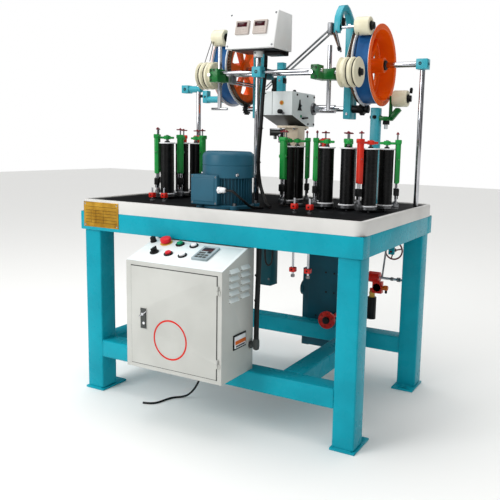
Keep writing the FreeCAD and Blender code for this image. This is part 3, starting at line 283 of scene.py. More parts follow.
for part in frame["record"]["subparts"]:
    node = frame["nodes"][part["node"]]
    for place in node.material_slots:
        place.material = finish[slotFinish[part["material_slot"]]]
print("finishes set")

# modelling helpers: sizes in millimetres, every piece ends with its place in its mesh


def selectOnly(piece):
    bpy.ops.object.select_all(action="DESELECT")
    piece.select_set(True)
    bpy.context.view_layer.objects.active = piece


def clearMarks(piece):
    # no vertex and no edge of the mesh is selected
    for item in list(piece.data.vertices) + list(piece.data.edges):
        item.select = False


def settle(name, material, bevel=0.0, steps=2, angle=30):
    piece = bpy.context.object
    piece.name = name
    piece.data.name = name
    bpy.ops.object.transform_apply(location=True, rotation=True, scale=True)
    if bevel:
        edge = piece.modifiers.new("edge", "BEVEL")
        edge.width = bevel * mm
        edge.segments = steps
        edge.limit_method = "ANGLE"
        edge.angle_limit = math.radians(angle)
        bpy.ops.object.modifier_apply(modifier="edge")
    bpy.ops.object.shade_smooth_by_angle(angle=math.radians(angle))
    piece.data.materials.clear()
    piece.data.materials.append(finish[material])
    return piece


def addBlock(low, high, material, bevel=1.0, steps=2, name="block"):
    bpy.ops.object.select_all(action="DESELECT")
    middle = [(a + b) / 2 * mm for a, b in zip(low, high)]
    bpy.ops.mesh.primitive_cube_add(size=1, location=middle,
                                    scale=[(b - a) * mm for a, b in zip(low, high)])
    return settle(name, material, bevel, steps)


def aimObject(piece, start, direction):
    turn = Vector((0, 0, 1)).rotation_difference(Vector(direction).normalized())
    piece.matrix_world = Matrix.Translation(Vector(start) * mm) @ turn.to_matrix().to_4x4()


def addTurned(profile, origin, direction, material, sides=48, closed=False, bevel=0.0, name="turned"):
    # profile is (along the axis, radius); open ends are capped, a closed one is bridged round
    bpy.ops.object.select_all(action="DESELECT")
    along, radius = profile[0]
    bpy.ops.mesh.primitive_circle_add(vertices=sides, radius=radius * mm, location=(0, 0, along * mm),
                                      fill_type="NOTHING" if closed else "NGON")
    bpy.ops.object.mode_set(mode="EDIT")
    bpy.ops.mesh.select_mode(type="VERT")
    for nextAlong, nextRadius in profile[1:]:
        bpy.ops.mesh.extrude_region_move(TRANSFORM_OT_translate={"value": (0, 0, (nextAlong - along) * mm)})
        ratio = nextRadius / radius
        bpy.ops.transform.resize(value=(ratio, ratio, 1), center_override=(0, 0, nextAlong * mm))
        along, radius = nextAlong, nextRadius
    if closed:
        bpy.ops.mesh.select_all(action="DESELECT")
        bpy.ops.mesh.select_non_manifold()
        bpy.ops.mesh.bridge_edge_loops()
    bpy.ops.mesh.select_all(action="SELECT")
    bpy.ops.mesh.normals_make_consistent(inside=False)
    bpy.ops.object.mode_set(mode="OBJECT")
    bpy.ops.object.transform_apply(location=True, rotation=True, scale=True)
    aimObject(bpy.context.object, origin, direction)
    return settle(name, material, bevel)


def addRod(start, end, radius, material, sides=24, bevel=0.6, name="rod"):
    span = Vector(end) - Vector(start)
    chamfer = min(bevel, radius * 0.4)
    profile = [(0, radius - chamfer), (chamfer, radius), (span.length - chamfer, radius),
               (span.length, radius - chamfer)]
    return addTurned(profile, start, span, material, sides, name=name)


def addProfile(corners, axis, low, high, material, bevel=1.0, name="profile"):
    # a flat outline pushed along one axis; its corners are the other two coordinates, in order
    bpy.ops.object.select_all(action="DESELECT")
    bpy.ops.mesh.primitive_circle_add(vertices=len(corners), radius=1, fill_type="NGON")
    sheet = bpy.context.object
    for vertex, (first, second) in zip(sheet.data.vertices, corners):
        spot = {"X": (low, first, second), "Y": (first, low, second), "Z": (first, second, low)}[axis]
        vertex.co = Vector(spot) * mm
    bpy.ops.object.mode_set(mode="EDIT")
    bpy.ops.mesh.select_all(action="SELECT")
    push = [(high - low) * mm if letter == axis else 0 for letter in "XYZ"]
    bpy.ops.mesh.extrude_region_move(TRANSFORM_OT_translate={"value": push})
    bpy.ops.mesh.select_all(action="SELECT")
    bpy.ops.mesh.normals_make_consistent(inside=False)
    bpy.ops.object.mode_set(mode="OBJECT")
    return settle(name, material, bevel)


def insetFace(piece, facing, margin, push):
    # a step in from the edge of the face that looks along facing, pushed in or out
    selectOnly(piece)
    outer = max(face.center.dot(Vector(facing)) for face in piece.data.polygons)
    clearMarks(piece)
    for face in piece.data.polygons:
        face.select = face.normal.dot(Vector(facing)) > 0.98 and face.center.dot(Vector(facing)) > outer - 0.0004
    bpy.ops.object.mode_set(mode="EDIT")
    bpy.ops.mesh.select_mode(type="FACE")
    bpy.ops.mesh.inset(thickness=margin * mm, depth=0)
    bpy.ops.mesh.inset(thickness=0.8 * mm, depth=push * mm)
    bpy.ops.object.mode_set(mode="OBJECT")
    return piece


def layOn(piece, origin, right, up):
    # sets a piece that was built flat at the origin (x right, y up, z out) on a leaning face
    right, up = Vector(right).normalized(), Vector(up).normalized()
    turn = Matrix((right, up, right.cross(up))).transposed().to_4x4()
    piece.matrix_world = Matrix.Translation(Vector(origin) * mm) @ turn @ piece.matrix_world
    selectOnly(piece)
    bpy.ops.object.transform_apply(location=True, rotation=True, scale=True)
    return piece


def addHexBolt(spot, direction, across, height, material="machinedSteel"):
    # a washer with a chamfered hexagon head on it
    head = addTurned([(0.8, across * 0.5), (height - 0.8, across * 0.5), (height, across * 0.42)], spot,
                     direction,
                     material, sides=6)
    washer = addTurned([(-0.5, across * 0.62), (0.9, across * 0.62), (1.1, across * 0.58)], spot, direction,
                       material, sides=24)
    return joinPieces([washer, head], "bolt")


def addCapScrew(spot, direction, radius, height, material="blackPlastic"):
    # a round head with a sunk socket
    return addTurned([(-0.5, radius * 0.96), (height - 0.7, radius), (height, radius * 0.86),
                      (height, radius * 0.5),
                      (height - 1.6, radius * 0.46)], spot, direction, material, sides=24)


def joinPieces(parts, name):
    bpy.ops.object.select_all(action="DESELECT")
    for part in parts:
        part.select_set(True)
    bpy.context.view_layer.objects.active = parts[0]
    bpy.ops.object.join()
    piece = bpy.context.object
    piece.name = name
    piece.data.name = name
    return piece


def copyTo(pattern, name, spot, turn, axis="Z"):
    # a copy with its own mesh, turned about an axis through the origin and moved to spot
    piece = pattern.copy()
    piece.data = pattern.data.copy()
    piece.name = name
    piece.data.name = name
    scene.collection.objects.link(piece)
    piece.matrix_world = (Matrix.Translation(Vector(spot) * mm) @ Matrix.Rotation(math.radians(turn), 4,
                                                                                  axis)
                          @ piece.matrix_world)
    selectOnly(piece)
    bpy.ops.object.transform_apply(location=True, rotation=True, scale=True)
    return piece


def softenNode(label, name, material, bevel=0.8, steps=2, angle=30):
    # a copy of a machined or bent part with its edges broken
    source = frame["nodes"][label]
    piece = bpy.data.objects.new(name, source.data.copy())
    scene.collection.objects.link(piece)
    piece.matrix_world = source.matrix_world.copy()
    selectOnly(piece)
    bpy.ops.object.mode_set(mode="EDIT")
    bpy.ops.mesh.select_all(action="SELECT")
    bpy.ops.mesh.remove_doubles(threshold=0.00001)
    bpy.ops.mesh.dissolve_limited(angle_limit=math.radians(1))
    bpy.ops.object.mode_set(mode="OBJECT")
    return settle(name, material, bevel, steps, angle)


def tint(piece, material, low, high):
    # another finish on the faces whose middle lies between two corners
    piece.data.materials.append(finish[material])
    number = len(piece.data.materials) - 1
    for face in piece.data.polygons:
        middle = face.center / mm
        if all(a <= m <= b for a, m, b in zip(low, middle, high)):
            face.material_index = number
    return piece


def mount(piece, body, slotName, *nodes):
    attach(piece, body)
    if nodes:
        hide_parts(*nodes)
    return piece


# mains lead: leaves the back of the cabinet, drops and lies on the floor

lead = {"radius": 4, "route": [(-95, -325, 250), (-95, -297, 250), (-96, -268, 232), (-98, -258, 185),
                               (-102, -260, 135), (-112, -266, 88), (-130, -274, 48), (-160, -276, 16),
                               (-190, -282, 4), (-214, -300, 4), (-226, -332, 4), (-232, -370, 4),
                               (-252, -396, 4), (-282, -403, 4)]}
leadCurve = bpy.data.curves.new("mainsLead", "CURVE")
leadCurve.dimensions = "3D"
leadCurve.bevel_depth = lead["radius"] * mm
leadCurve.bevel_resolution = 4
leadCurve.resolution_u = 12
leadCurve.use_fill_caps = True
leadLine = leadCurve.splines.new("NURBS")
leadLine.points.add(len(lead["route"]) - 1)
for point, spot in zip(leadLine.points, lead["route"]):
    point.co = (*(Vector(spot) * mm), 1)
leadLine.order_u = 3
leadLine.use_endpoint_u = True
mainsLead = bpy.data.objects.new("mainsLead", leadCurve)
scene.collection.objects.link(mainsLead)
leadCurve.materials.append(finish["leadJacket"])
mount(mainsLead, "frame", "rubber", "mains_lead")

gland = {"hex": [(0, 10), (1.5, 11.5), (7.5, 11.5), (9, 10)],
         "boot": [(8, 7.5), (12, 7.5), (30, 5.2), (33, 4.4)]}
leadGland = joinPieces([addTurned(gland["hex"], (-95, -345, 250), (0, 1, 0), "blackPlastic", sides=6),
                        addTurned(gland["boot"], (-95, -345, 250), (0, 1, 0), "blackPlastic", sides=32)],
                       "leadGland")
mount(leadGland, "frame", "rubber", "lead_gland")
print("lead laid")

# braiding heads

heads = {"right_1": ((185, -20), [(225, 267, "GREEN"), (135, 20, "GREEN")]),
         "right_2": ((285, -20), [(130, 319, "RED"), (305, 200, "GREEN")]),
         "right_3": ((385, -20), [(290, 117, "GREEN"), (110, 117, "GREEN")]),
         "right_4": ((485, -20), [(275, 228, "RED"), (45, 27, "GREEN")]),
         "left_1": ((-400, -100), [(307, 207, "GREEN"), (127, 207, "GREEN")]),
         "left_2": ((-400, 0), [(307, 297, "GREEN"), (127, 117, "RED")]),
         "left_3": ((-400, 100), [(307, 351, "GREEN"), (127, 117, "RED")])}
carrier = {"reach": 42, "low": 880, "top": 1036, "half": 13, "spindle": 5, "foot": 24, "track": 50}


def channelTube(material):
    # the upright: a pressed channel with a rounded front and a recess pressed down its back
    low, top, half, reach = carrier["low"], carrier["top"], carrier["half"], carrier["reach"]
    bpy.ops.object.select_all(action="DESELECT")
    bpy.ops.mesh.primitive_cube_add(size=1, location=(reach * mm, 0, (low + top) / 2 * mm),
                                    scale=(18 * mm, 2 * half * mm, (top - low) * mm))
    bpy.ops.object.transform_apply(location=True, rotation=True, scale=True)
    tube = bpy.context.object
    bpy.ops.object.mode_set(mode="EDIT")
    bpy.ops.mesh.select_all(action="DESELECT")
    bpy.ops.object.mode_set(mode="OBJECT")
    for edge in tube.data.edges:
        ends = [tube.data.vertices[index].co for index in edge.vertices]
        upright = abs(ends[0].z - ends[1].z) > 0.1
        edge.select = upright and ends[0].x > reach * mm
    bpy.ops.object.mode_set(mode="EDIT")
    bpy.ops.mesh.select_mode(type="EDGE")
    bpy.ops.mesh.bevel(offset=8 * mm, segments=5, affect="EDGES")
    bpy.ops.mesh.select_mode(type="FACE")
    bpy.ops.mesh.select_all(action="DESELECT")
    bpy.ops.object.mode_set(mode="OBJECT")
    for face in tube.data.polygons:
        face.select = face.normal.x < -0.9
    bpy.ops.object.mode_set(mode="EDIT")
    bpy.ops.mesh.inset(thickness=3 * mm)
    bpy.ops.mesh.extrude_region_move(TRANSFORM_OT_translate={"value": (12 * mm, 0, 0)})
    bpy.ops.object.mode_set(mode="OBJECT")
    return settle("channel", material, bevel=0.5)


def towerParts(material):
    # the upright with its foot, slider, twin guide rods and cross guide
    reach = carrier["reach"]
    parts = [
        addBlock((reach - 32, -10, 784), (reach + 9, 10, 792), "machinedSteel", bevel=2),
        addBlock((reach - 11, -14, 790), (reach + 9, 14, 806), "machinedSteel", bevel=3, steps=3),
        addBlock((reach - 8, -9, 805), (reach + 6, 9, 814), "machinedSteel", bevel=2),
        addBlock((reach - 10, -13, 834), (reach + 9, 13, 862), "blackPlastic", bevel=3.5, steps=3),
        addBlock((reach - 6, -8, 822), (reach + 6, 8, 836), "blackPlastic", bevel=2),
        channelTube(material),
        addBlock((reach - 11, -15, 1024), (reach + 10, 15, 1040), material, bevel=3, steps=3),
        addRod((reach - 4, 0, 1036), (reach - 4, 0, 1062), 3, "machinedSteel", sides=16),
        addBlock((reach - 7.5, -16, 1058), (reach - 0.5, 16, 1063), "maroonEnamel", bevel=1.5),
        addTurned([(1062, 4.5), (1064, 4.5), (1067, 2), (1068, 1)], (reach - 4, 0, 0), (0, 0, 1),
                  "maroonEnamel", sides=16),
        addRod((reach - 5, 0, 796), (reach - 5, 0, 884), 2, "brightChrome", sides=12)]
    for side in (-1, 1):
        parts.append(addRod((reach, side * 7, 796), (reach, side * 7, 884), 2.5, "brightChrome", sides=12))
        parts.append(addBlock((reach - 5, side * 13 - 3, 962), (reach + 5, side * 13 + 3, 974), material,
                              bevel=1.5))
        parts.append(addRod((reach, side * 14, 968), (reach, side * 18, 968), 2, "machinedSteel", sides=12))
    return parts


def modelCarrier(material, name):
    reach = carrier["reach"]
    parts = towerParts(material) + [
        addTurned([(782, 22.5), (782.6, carrier["foot"]), (787, carrier["foot"])], (0, 0, 0), (0, 0, 1),
                  "blackenedBed"),
        addTurned([(786, 29), (787, 30), (795.5, 30), (796.5, 29)], (0, 0, 0), (0, 0, 1), "machinedSteel"),
        addRod((0, 0, 766), (0, 0, 783), 4, "machinedSteel", sides=16),
        addRod((0, 0, 791), (0, 0, 1038), carrier["spindle"], "machinedSteel", sides=16),
        addBlock((0, -10, 784), (reach - 30, 10, 792), "machinedSteel", bevel=2),
        addBlock((-27, -7, 1022), (reach - 8, 7, 1031), material, bevel=2.5, steps=2),
        addTurned([(1020, 12), (1021, 13), (1033, 13), (1035, 11)], (0, 0, 0), (0, 0, 1), material,
                  sides=32)]
    return joinPieces(parts, name)


def modelBobbin(name):
    bore = carrier["spindle"] + 0.3
    parts = []
    for low in (797, 1003):
        parts.append(addTurned([(low, bore), (low, 31), (low + 0.7, 31.5), (low + 4, 31.5), (low + 4.6, 31),
                                (low + 4.6, bore)], (0, 0, 0), (0, 0, 1), "whitePlastic", closed=True))
    wound = [(801.6, bore + 2), (801.6, 27.4), (806, 27), (850, 26.6), (905, 27.1), (960, 26.6), (1000, 27),
             (1003, 27.3), (1003, bore + 2)]
    parts.append(addTurned(wound, (0, 0, 0), (0, 0, 1), "blackYarn", closed=True))
    parts.append(addTurned([(1007.6, bore), (1007.6, 10), (1013, 9), (1013, bore)], (0, 0, 0), (0, 0, 1),
                           "blackPlastic", sides=24, closed=True))
    return joinPieces(parts, name)


def modelGear(name):
    # a 40 tooth spur gear under the bed, its shaft and the horn plate on top
    blank = addTurned([(700, 52), (714, 52)], (0, 0, 0), (0, 0, 1), "machinedSteel", sides=160)
    for vertex in blank.data.vertices:
        tooth = round(math.degrees(math.atan2(vertex.co.y, vertex.co.x)) / 2.25) % 4
        if tooth in (2, 3):
            vertex.co.x *= 47.5 / 52
            vertex.co.y *= 47.5 / 52
    parts = [blank, addRod((0, 0, 700), (0, 0, 781), 10, "machinedSteel"),
             addTurned([(776.3, 39), (777, 40), (780.3, 40), (781.6, 38.5)], (0, 0, 0), (0, 0, 1),
                       "blackenedBed"),
             addTurned([(781, 12), (785, 12), (786, 11)], (0, 0, 0), (0, 0, 1), "machinedSteel", sides=6)]
    return joinPieces(parts, name)


loneTower = joinPieces(towerParts("towerRed"), "lonePattern")
mount(copyTo(loneTower, "loneTower", (157, -20, 0), 180), "horn_gear_right_1", "green_paint",
      "carriers_right_1")
bpy.data.objects.remove(loneTower)
patterns = {"GREEN": modelCarrier("towerGreen", "greenCarrier"),
            "RED": modelCarrier("towerRed", "redCarrier")}
bobbinPattern = modelBobbin("bobbinPattern")
gearPattern = modelGear("gearPattern")
for tag, ((gearX, gearY), riders) in heads.items():
    body = "horn_gear_" + tag
    side, number = tag.split("_")
    turn = 4.5 * ((int(number) + 1) % 2)
    gear = copyTo(gearPattern, "hornGear_" + tag, (gearX, gearY, 0), turn)
    mount(gear, body, "steel", "carriers_" + tag)
    for index, (angle, facing, colour) in enumerate(riders):
        spot = (gearX + carrier["track"] * math.cos(math.radians(angle)),
                gearY + carrier["track"] * math.sin(math.radians(angle)), 0)
        mount(copyTo(patterns[colour], "carrier_%s_%d" % (tag, index + 1), spot, facing), body, "steel",
              "carriers_" + tag)
        mount(copyTo(bobbinPattern, "bobbin_%s_%d" % (tag, index + 1), spot, facing), body, "yarn",
              "bobbins_" + tag)
for pattern in list(patterns.values()) + [bobbinPattern, gearPattern]:
    bpy.data.objects.remove(pattern)
print("heads built")

# capstans: orange cast wheels with a blue lagged drum and a gear ring

capstan = {"axisY": 255, "axisZ": 1335, "windows": 6, "windowLow": 42, "windowTop": 110, "windowAngle": 40}


def modelCapstan(tag, across, direction):
    origin = (across, capstan["axisY"], capstan["axisZ"])
    wheel = addTurned([(21, 138), (21, 148.4), (86, 148.4), (86, 159.5), (87.5, 161), (89.5, 161),
                       (91, 159.6),
                       (91, 140.5), (89.6, 139), (30, 136), (26, 132), (26, 34), (30, 30.5), (96, 29),
                       (98, 27),
                       (98, 11.3), (8, 11.3), (8, 30), (16, 30), (16, 138)],
                      (0, 0, 0), (0, 0, 1), "orangeEnamel", sides=96, closed=True)
    half = math.radians(capstan["windowAngle"] / 2)
    low, top = capstan["windowLow"], capstan["windowTop"]
    arc = [half * (step / 4) for step in range(-4, 5)]
    corners = ([(top * math.cos(turn), top * math.sin(turn)) for turn in arc]
               + [(low * math.cos(turn), low * math.sin(turn)) for turn in reversed(arc)])
    cutter = addProfile(corners, "Z", 4, 50, "orangeEnamel", bevel=0)
    turns = [360 / capstan["windows"] * index for index in range(capstan["windows"])]
    cutter = joinPieces([copyTo(cutter, "cutter", (0, 0, 0), turn) for turn in turns[1:]] + [cutter],
                        "cutter")
    opening = wheel.modifiers.new("window", "BOOLEAN")
    opening.operation = "DIFFERENCE"
    opening.object = cutter
    selectOnly(wheel)
    bpy.ops.object.modifier_apply(modifier="window")
    bpy.data.objects.remove(cutter)
    bpy.ops.object.shade_smooth_by_angle(angle=math.radians(30))
    rib = addBlock((31, -3.5, 24), (132, 3.5, 40), "orangeEnamel", bevel=2)
    parts = [wheel]
    for index in range(capstan["windows"]):
        parts.append(copyTo(rib, "rib", (0, 0, 0), 60 * index + 30))
    bpy.data.objects.remove(rib)
    wheel = joinPieces(parts, "capstanWheel_" + tag)
    aimObject(wheel, origin, direction)
    selectOnly(wheel)
    bpy.ops.object.transform_apply(location=True, rotation=True, scale=True)
    lagging = addTurned([(21, 148), (21, 149.6), (23, 150), (83, 150), (85.9, 149.6), (85.9, 148)], origin,
                        direction, "blueLagging", sides=96, closed=True, name="capstanLagging_" + tag)
    edge = [addTurned([(85.6, 150), (85.6, 160.4), (86.2, 161), (88, 161), (88, 150)], origin, direction,
                      "whitePlastic", sides=96, closed=True),
            addTurned([(16.4, 150), (16.4, 160.4), (17, 161), (20, 161), (21, 160.4), (21, 150)], origin,
                      direction,
                      "whitePlastic", sides=96, closed=True)]
    edge = joinPieces(edge, "capstanFlanges_" + tag)
    ring = addTurned([(0, 144.1), (0, 153), (15.8, 153), (15.8, 144.1)], origin, direction, "gearBrown",
                     sides=320, closed=True, name="capstanGear_" + tag)
    for vertex in ring.data.vertices:
        out = Vector((0, vertex.co.y - capstan["axisY"] * mm, vertex.co.z - capstan["axisZ"] * mm))
        tooth = round(math.degrees(math.atan2(out.z, out.y)) / 1.125) % 4
        if out.length > 0.15 and tooth in (2, 3):
            vertex.co -= out.normalized() * 6.5 * mm
    return wheel, lagging, edge, ring


for tag, across, direction, shaft in (("right", 314, (1, 0, 0), (245, 553)),
                                      ("left", -226, (-1, 0, 0), (-334, -159))):
    body = "capstan_" + tag
    slots = ("orange_paint", "rubber", "white_plastic", "steel")
    for piece, slotName in zip(modelCapstan(tag, across, direction), slots):
        mount(piece, body, slotName, body)
    collar = across + direction[0] * 98
    bar = joinPieces([addRod((shaft[0], 255, 1335), (shaft[1], 255, 1335), 11, "brightChrome", sides=32),
                      addTurned([(-0.5, 20), (5, 20), (7, 18), (7, 11.2), (-0.5, 11.2)],
                                (collar, 255, 1335), direction,
                                "blackPlastic", sides=32, closed=True)], "capstanShaft_" + tag)
    mount(bar, body, "chrome", body)
print("capstans built")

# vertical motor

motor = {"axis": (0, -245, 0), "core": 79, "fins": 44}
housing = [addTurned([(776, 93), (777.5, 96), (787, 96), (790, 92)], motor["axis"], (0, 0, 1),
                     "motorEnamel", sides=64),
           addTurned([(789, motor["core"]), (893, motor["core"])], motor["axis"], (0, 0, 1), "motorEnamel",
                     sides=64)]
finPattern = addBlock((motor["core"] - 3, -1.6, 792), (88, 1.6, 890), "motorEnamel", bevel=0.9,
                      name="finPattern")
for index in range(motor["fins"]):
    housing.append(copyTo(finPattern, "fin", motor["axis"], 360 / motor["fins"] * index))
bpy.data.objects.remove(finPattern)
mount(joinPieces(housing, "motorHousing"), "frame", "motor_paint", "motor_body")
cowl = [addTurned([(888, 93), (888, 96), (930, 96), (932, 94.5), (934, 96), (966, 96), (974, 92), (982, 82),
                   (983, 78), (983, 40), (980, 40), (980, 76), (964, 93), (900, 93)], motor["axis"],
                   (0, 0, 1),
                  "motorEnamel", sides=72, closed=True)]
mount(joinPieces(cowl, "fanCowl"), "frame", "motor_paint", "fan_cowl")
print("motor built")

# take-up: brackets, clamps, bars and rollers

bracket = {"right": (245, 120, 1468), "left": (-191, 112, 1452), "wide": 32,
           "arch": [(233, 1500), (262, 1500), (258, 1514), (240, 1530), (222, 1545), (205, 1556),
                    (180, 1564),
                    (150, 1556), (128, 1534), (112, 1508), (107, 1480), (106, 1446), (121, 1446),
                    (122, 1486),
                    (131, 1514), (150, 1533), (178, 1539), (203, 1532), (220, 1514), (226, 1500)]}
blue, pins = [], []
for side in ("right", "left"):
    left, deep, high = bracket[side]
    right = left + bracket["wide"]
    blue.append(addBlock((left, 233, 1122), (right, 277, 1512), "turquoiseEnamel", bevel=2.5, steps=3))
    blue.append(addProfile(bracket["arch"], "X", left + 3, right - 3, "turquoiseEnamel", bevel=1.5))
    blue.append(addTurned([(0, 12), (1, 13), (25, 13), (26, 12)], (left + 3, deep, high), (1, 0, 0),
                          "turquoiseEnamel",
                          sides=32))
    for spot in ((left + 16, 234, 1142), (left + 16, 234, 1500)):
        blue.append(addCapScrew(spot, (0, -1, 0), 5.5, 3, "brightChrome"))
    pins.append(addBlock((left + 6, 150, 1478), (right - 8, 176, 1512), "blackPlastic", bevel=2))
    pins.append(addRod((left + 14, 163, 1504), (left + 14, 163, 1538), 5, "blackPlastic"))
pins.append(addBlock((226, 96, 1440), (246, 124, 1486), "machinedSteel", bevel=4, steps=3))
pins.append(addRod((252, 100, 1446), (280, 98, 1384), 4.6, "gearBrown"))
pins.append(addTurned([(0, 6), (4, 8), (12, 8), (16, 6)], (276, 98, 1392), (0.4, 0, -1), "blackPlastic",
                      sides=24))
blue.append(addBlock((245, 276, 1122), (277, 303, 1234), "turquoiseEnamel", bevel=2.5, steps=3))
blue.append(addBlock((245, 82, 1268), (277, 236, 1298), "turquoiseEnamel", bevel=2))
pins.append(addBlock((-184, 27, 1252), (-166, 62, 1300), "machinedSteel", bevel=2, steps=3))
pins.append(addBlock((-181, 60, 1261), (-169, 234, 1268), "brightChrome", bevel=1.4))
pins.append(addBlock((-181, 60, 1252), (-169, 234, 1258.5), "brightChrome", bevel=1.4))
pins.append(addRod((-490, 254, 1222), (-448, 254, 1222), 7, "blackPlastic"))
blue.append(addRod((-452, 255, 1206), (-357, 255, 1206), 15, "turquoiseEnamel", sides=28, bevel=2))
blue.append(addBlock((-466, 240, 1190), (-440, 270, 1246), "turquoiseEnamel", bevel=3, steps=3))
blue.append(addBlock((-580, 232, 1235), (-542, 268, 1271), "turquoiseEnamel", bevel=2.5, steps=3))
blue.append(addRod((-544, 250, 1253), (-478, 250, 1253), 15, "turquoiseEnamel", sides=28, bevel=2))
blue.append(addBlock((545, 235, 1315), (591, 275, 1355), "turquoiseEnamel", bevel=2.5, steps=3))
blue.append(addBlock((-18, -64, 1268), (22, -28, 1308), "turquoiseEnamel", bevel=2, steps=3))
blue.append(addBlock((-18, -30, 1268), (8, 68, 1308), "deepTeal", bevel=2, steps=3))
blue.append(addBlock((365, 237, 776), (401, 273, 1168), "turquoiseEnamel", bevel=3, steps=3))
pins.append(addTurned([(0, 22), (2, 27), (12, 27), (14, 22)], (383, 255, 1124), (0, 0, 1), "blackPlastic",
                      sides=4))
pins.append(addTurned([(0, 6), (2, 8), (40, 8), (42, 6)], (420, 276, 1084), (0, 0, 1), "whitePlastic",
                      sides=28))
pins.append(addTurned([(0, 14), (14, 14), (16, 12)], (420, 276, 1102), (0, 0, 1), "blackPlastic", sides=32))
blue.append(addBlock((357, 229, 776), (409, 281, 784), "turquoiseEnamel", bevel=1.5))
for spot, facing, radius in (((562, 235, 1337), (0, -1, 0), 6), ((591, 255, 1335), (1, 0, 0), 6),
                             ((568, 255, 1355), (0, 0, 1), 5), ((2, -64, 1288), (0, -1, 0), 6.5),
                             ((-561, 232, 1253), (0, -1, 0), 7), ((-453, 240, 1218), (0, -1, 0), 5),
                             ((361, 233, 784), (0, 0, 1), 4), ((405, 233, 784), (0, 0, 1), 4)):
    blue.append(addCapScrew(spot, facing, radius, 1.5))
mount(joinPieces(blue, "takeUpBrackets"), "frame", "turquoise_paint", "take_up_brackets")
mount(joinPieces(pins, "bracketFittings"), "frame", "steel", "take_up_brackets")
collar = [addTurned([(1345, 11.1), (1345, 16.5), (1347, 18), (1366, 18), (1368.6, 16.5), (1368.6, 11.1)],
                    (0, -45, 0), (0, 0, 1), "boxWhite", sides=40, closed=True),
          addCapScrew((-3, -62.5, 1359), (0, -1, 0), 4, 1.5)]
mount(joinPieces(collar, "postCollar"), "frame", "turquoise_paint", "take_up_brackets")

green = []
for low, high in (((240, -70, 1256), (272, -22, 1308)), ((-212, -70, 1252), (-172, -12, 1304)),
                  ((215, 25, 1262), (290, 82, 1302)), ((-248, 25, 1262), (-206, 82, 1302)),
                  ((401, 240, 1118), (434, 312, 1134)), ((424, 290, 1124), (434, 310, 1218))):
    green.append(addBlock(low, high, "greenEnamel", bevel=2, steps=3))
green.append(addProfile([(424, 1118), (438, 1118), (474, 1160), (466, 1170), (452, 1170), (424, 1136)], "Y",
                        290, 308,
                        "greenEnamel", bevel=1.5))
for across, high in ((247, 1300), (262, 1297), (262, 1264), (-205, 1297), (-205, 1260), (-190, 1298)):
    green.append(addCapScrew((across, -70, high), (0, -1, 0), 5, 1.2))
for across in (226, 280, -240, -214):
    green.append(addHexBolt((across, 58, 1302), (0, 0, 1), 12, 7, "blackPlastic"))
green.append(addRod((-208, -80, 1279), (-208, -68, 1279), 7, "brightChrome"))
green.append(addRod((248, -84, 1279), (248, -68, 1279), 8, "brightChrome"))
green.append(addTurned([(0, 11), (10, 12), (14, 9), (30, 8), (32, 6)], (254, 82, 1310), (0, 0.2, -1),
                       "blackPlastic"))
mount(joinPieces(green, "barClamps"), "frame", "green_paint", "bar_clamps")


def modelGrooved(name, left):
    # cream nylon with three round-bottomed grooves; dark braid rings are laid in two of them below
    profile = [(0, 8), (0, 52), (2.5, 56)]
    for index in range(3):
        middle = 75 / 3 * (index + 0.5)
        profile += [(middle - 9, 56), (middle - 6, 53.5), (middle - 3, 49.5), (middle, 48),
                    (middle + 3, 49.5),
                    (middle + 6, 53.5), (middle + 9, 56)]
    profile += [(72.5, 56), (75, 52), (75, 8)]
    return addTurned(profile, (left, 41, 1288), (1, 0, 0), "creamNylon", sides=72, closed=True, name=name)


for side, left, grooves in (("right", 316, (1, 2)), ("left", -325, (0, 1))):
    body = "groove_roller_" + side
    mount(modelGrooved("grooveRoller_" + side, left), body, "cream_plastic", body)
    rings = []
    for index in grooves:
        middle = 25 * (index + 0.5)
        rings.append(addTurned([(middle - 1.6, 48.2), (middle - 1.6, 50.4), (middle, 51.6),
                                (middle + 1.6, 50.4),
                                (middle + 1.6, 48.2)], (left, 41, 1288), (1, 0, 0), "darkBraid", sides=72,
                                closed=True))
    mount(joinPieces(rings, "rollerBraid_" + side), body, "yarn")
    ends = [addHexBolt((left + 75, 41, 1288), (1, 0, 0), 28, 12, "blackPlastic")]
    mount(joinPieces(ends, "rollerBolt_" + side), "frame", "black_plastic")
for body, left, deep, high, wide, radius in (("top_roller_right", 339, 120, 1468, 60, 34),
                                             ("top_roller_left", -311, 112, 1452, 60, 34),
                                             ("low_roller", 440, 300, 1207, 60, 33)):
    roller = addTurned([(0, 6.2), (0, radius - 4), (1.2, radius - 1.2), (4, radius), (wide - 4, radius),
                        (wide - 1.2, radius - 1.2), (wide, radius - 4), (wide, radius - 12),
                        (wide - 1.5, radius - 13),
                        (wide - 1.5, 6.2)], (left, deep, high), (1, 0, 0), "creamNylon", sides=64,
                        closed=True,
                       name="plainRoller_" + body)
    mount(roller, body, "cream_plastic", body)
    nut = joinPieces([addHexBolt((left + wide + 0.5, deep, high), (1, 0, 0), 29, 13, "blackPlastic"),
                      addTurned([(-8, 9), (-1, 9), (-0.5, 8)], (left, deep, high), (1, 0, 0),
                                "blackPlastic")],
                     "rollerNut_" + body)
    mount(nut, "frame", "black_plastic")
tautCords = [((344, 88, 1440), (330, 78, 1350), "darkBraid"),
             ((362, 88, 1440), (352, 78, 1345), "darkBraid"),
             ((341, 86, 1444), (326, 62, 1342), "whiteBraid"),
             ((343, 82, 1444), (330, 60, 1343), "darkBraid"),
             ((340, 14, 1245), (349, 96, 1222), "darkBraid"),
             ((-306, 82, 1436), (-320, 52, 1346), "darkBraid"),
             ((-296, 82, 1434), (-298, 56, 1350), "darkBraid")]
strands = [addRod(start, end, 1.5, material, sides=10, bevel=0) for start, end, material in tautCords]
mount(joinPieces(strands, "tautCords"), "frame", "yarn")
bend = addTurned([(0, 6), (16, 6.5), (22, 4)], (512, 296, 1228), (0.15, -0.2, 1), "blackPlastic",
                 name="rollerGuard")
mount(bend, "frame", "black_plastic")
print("take-up built")

# counter box on its post

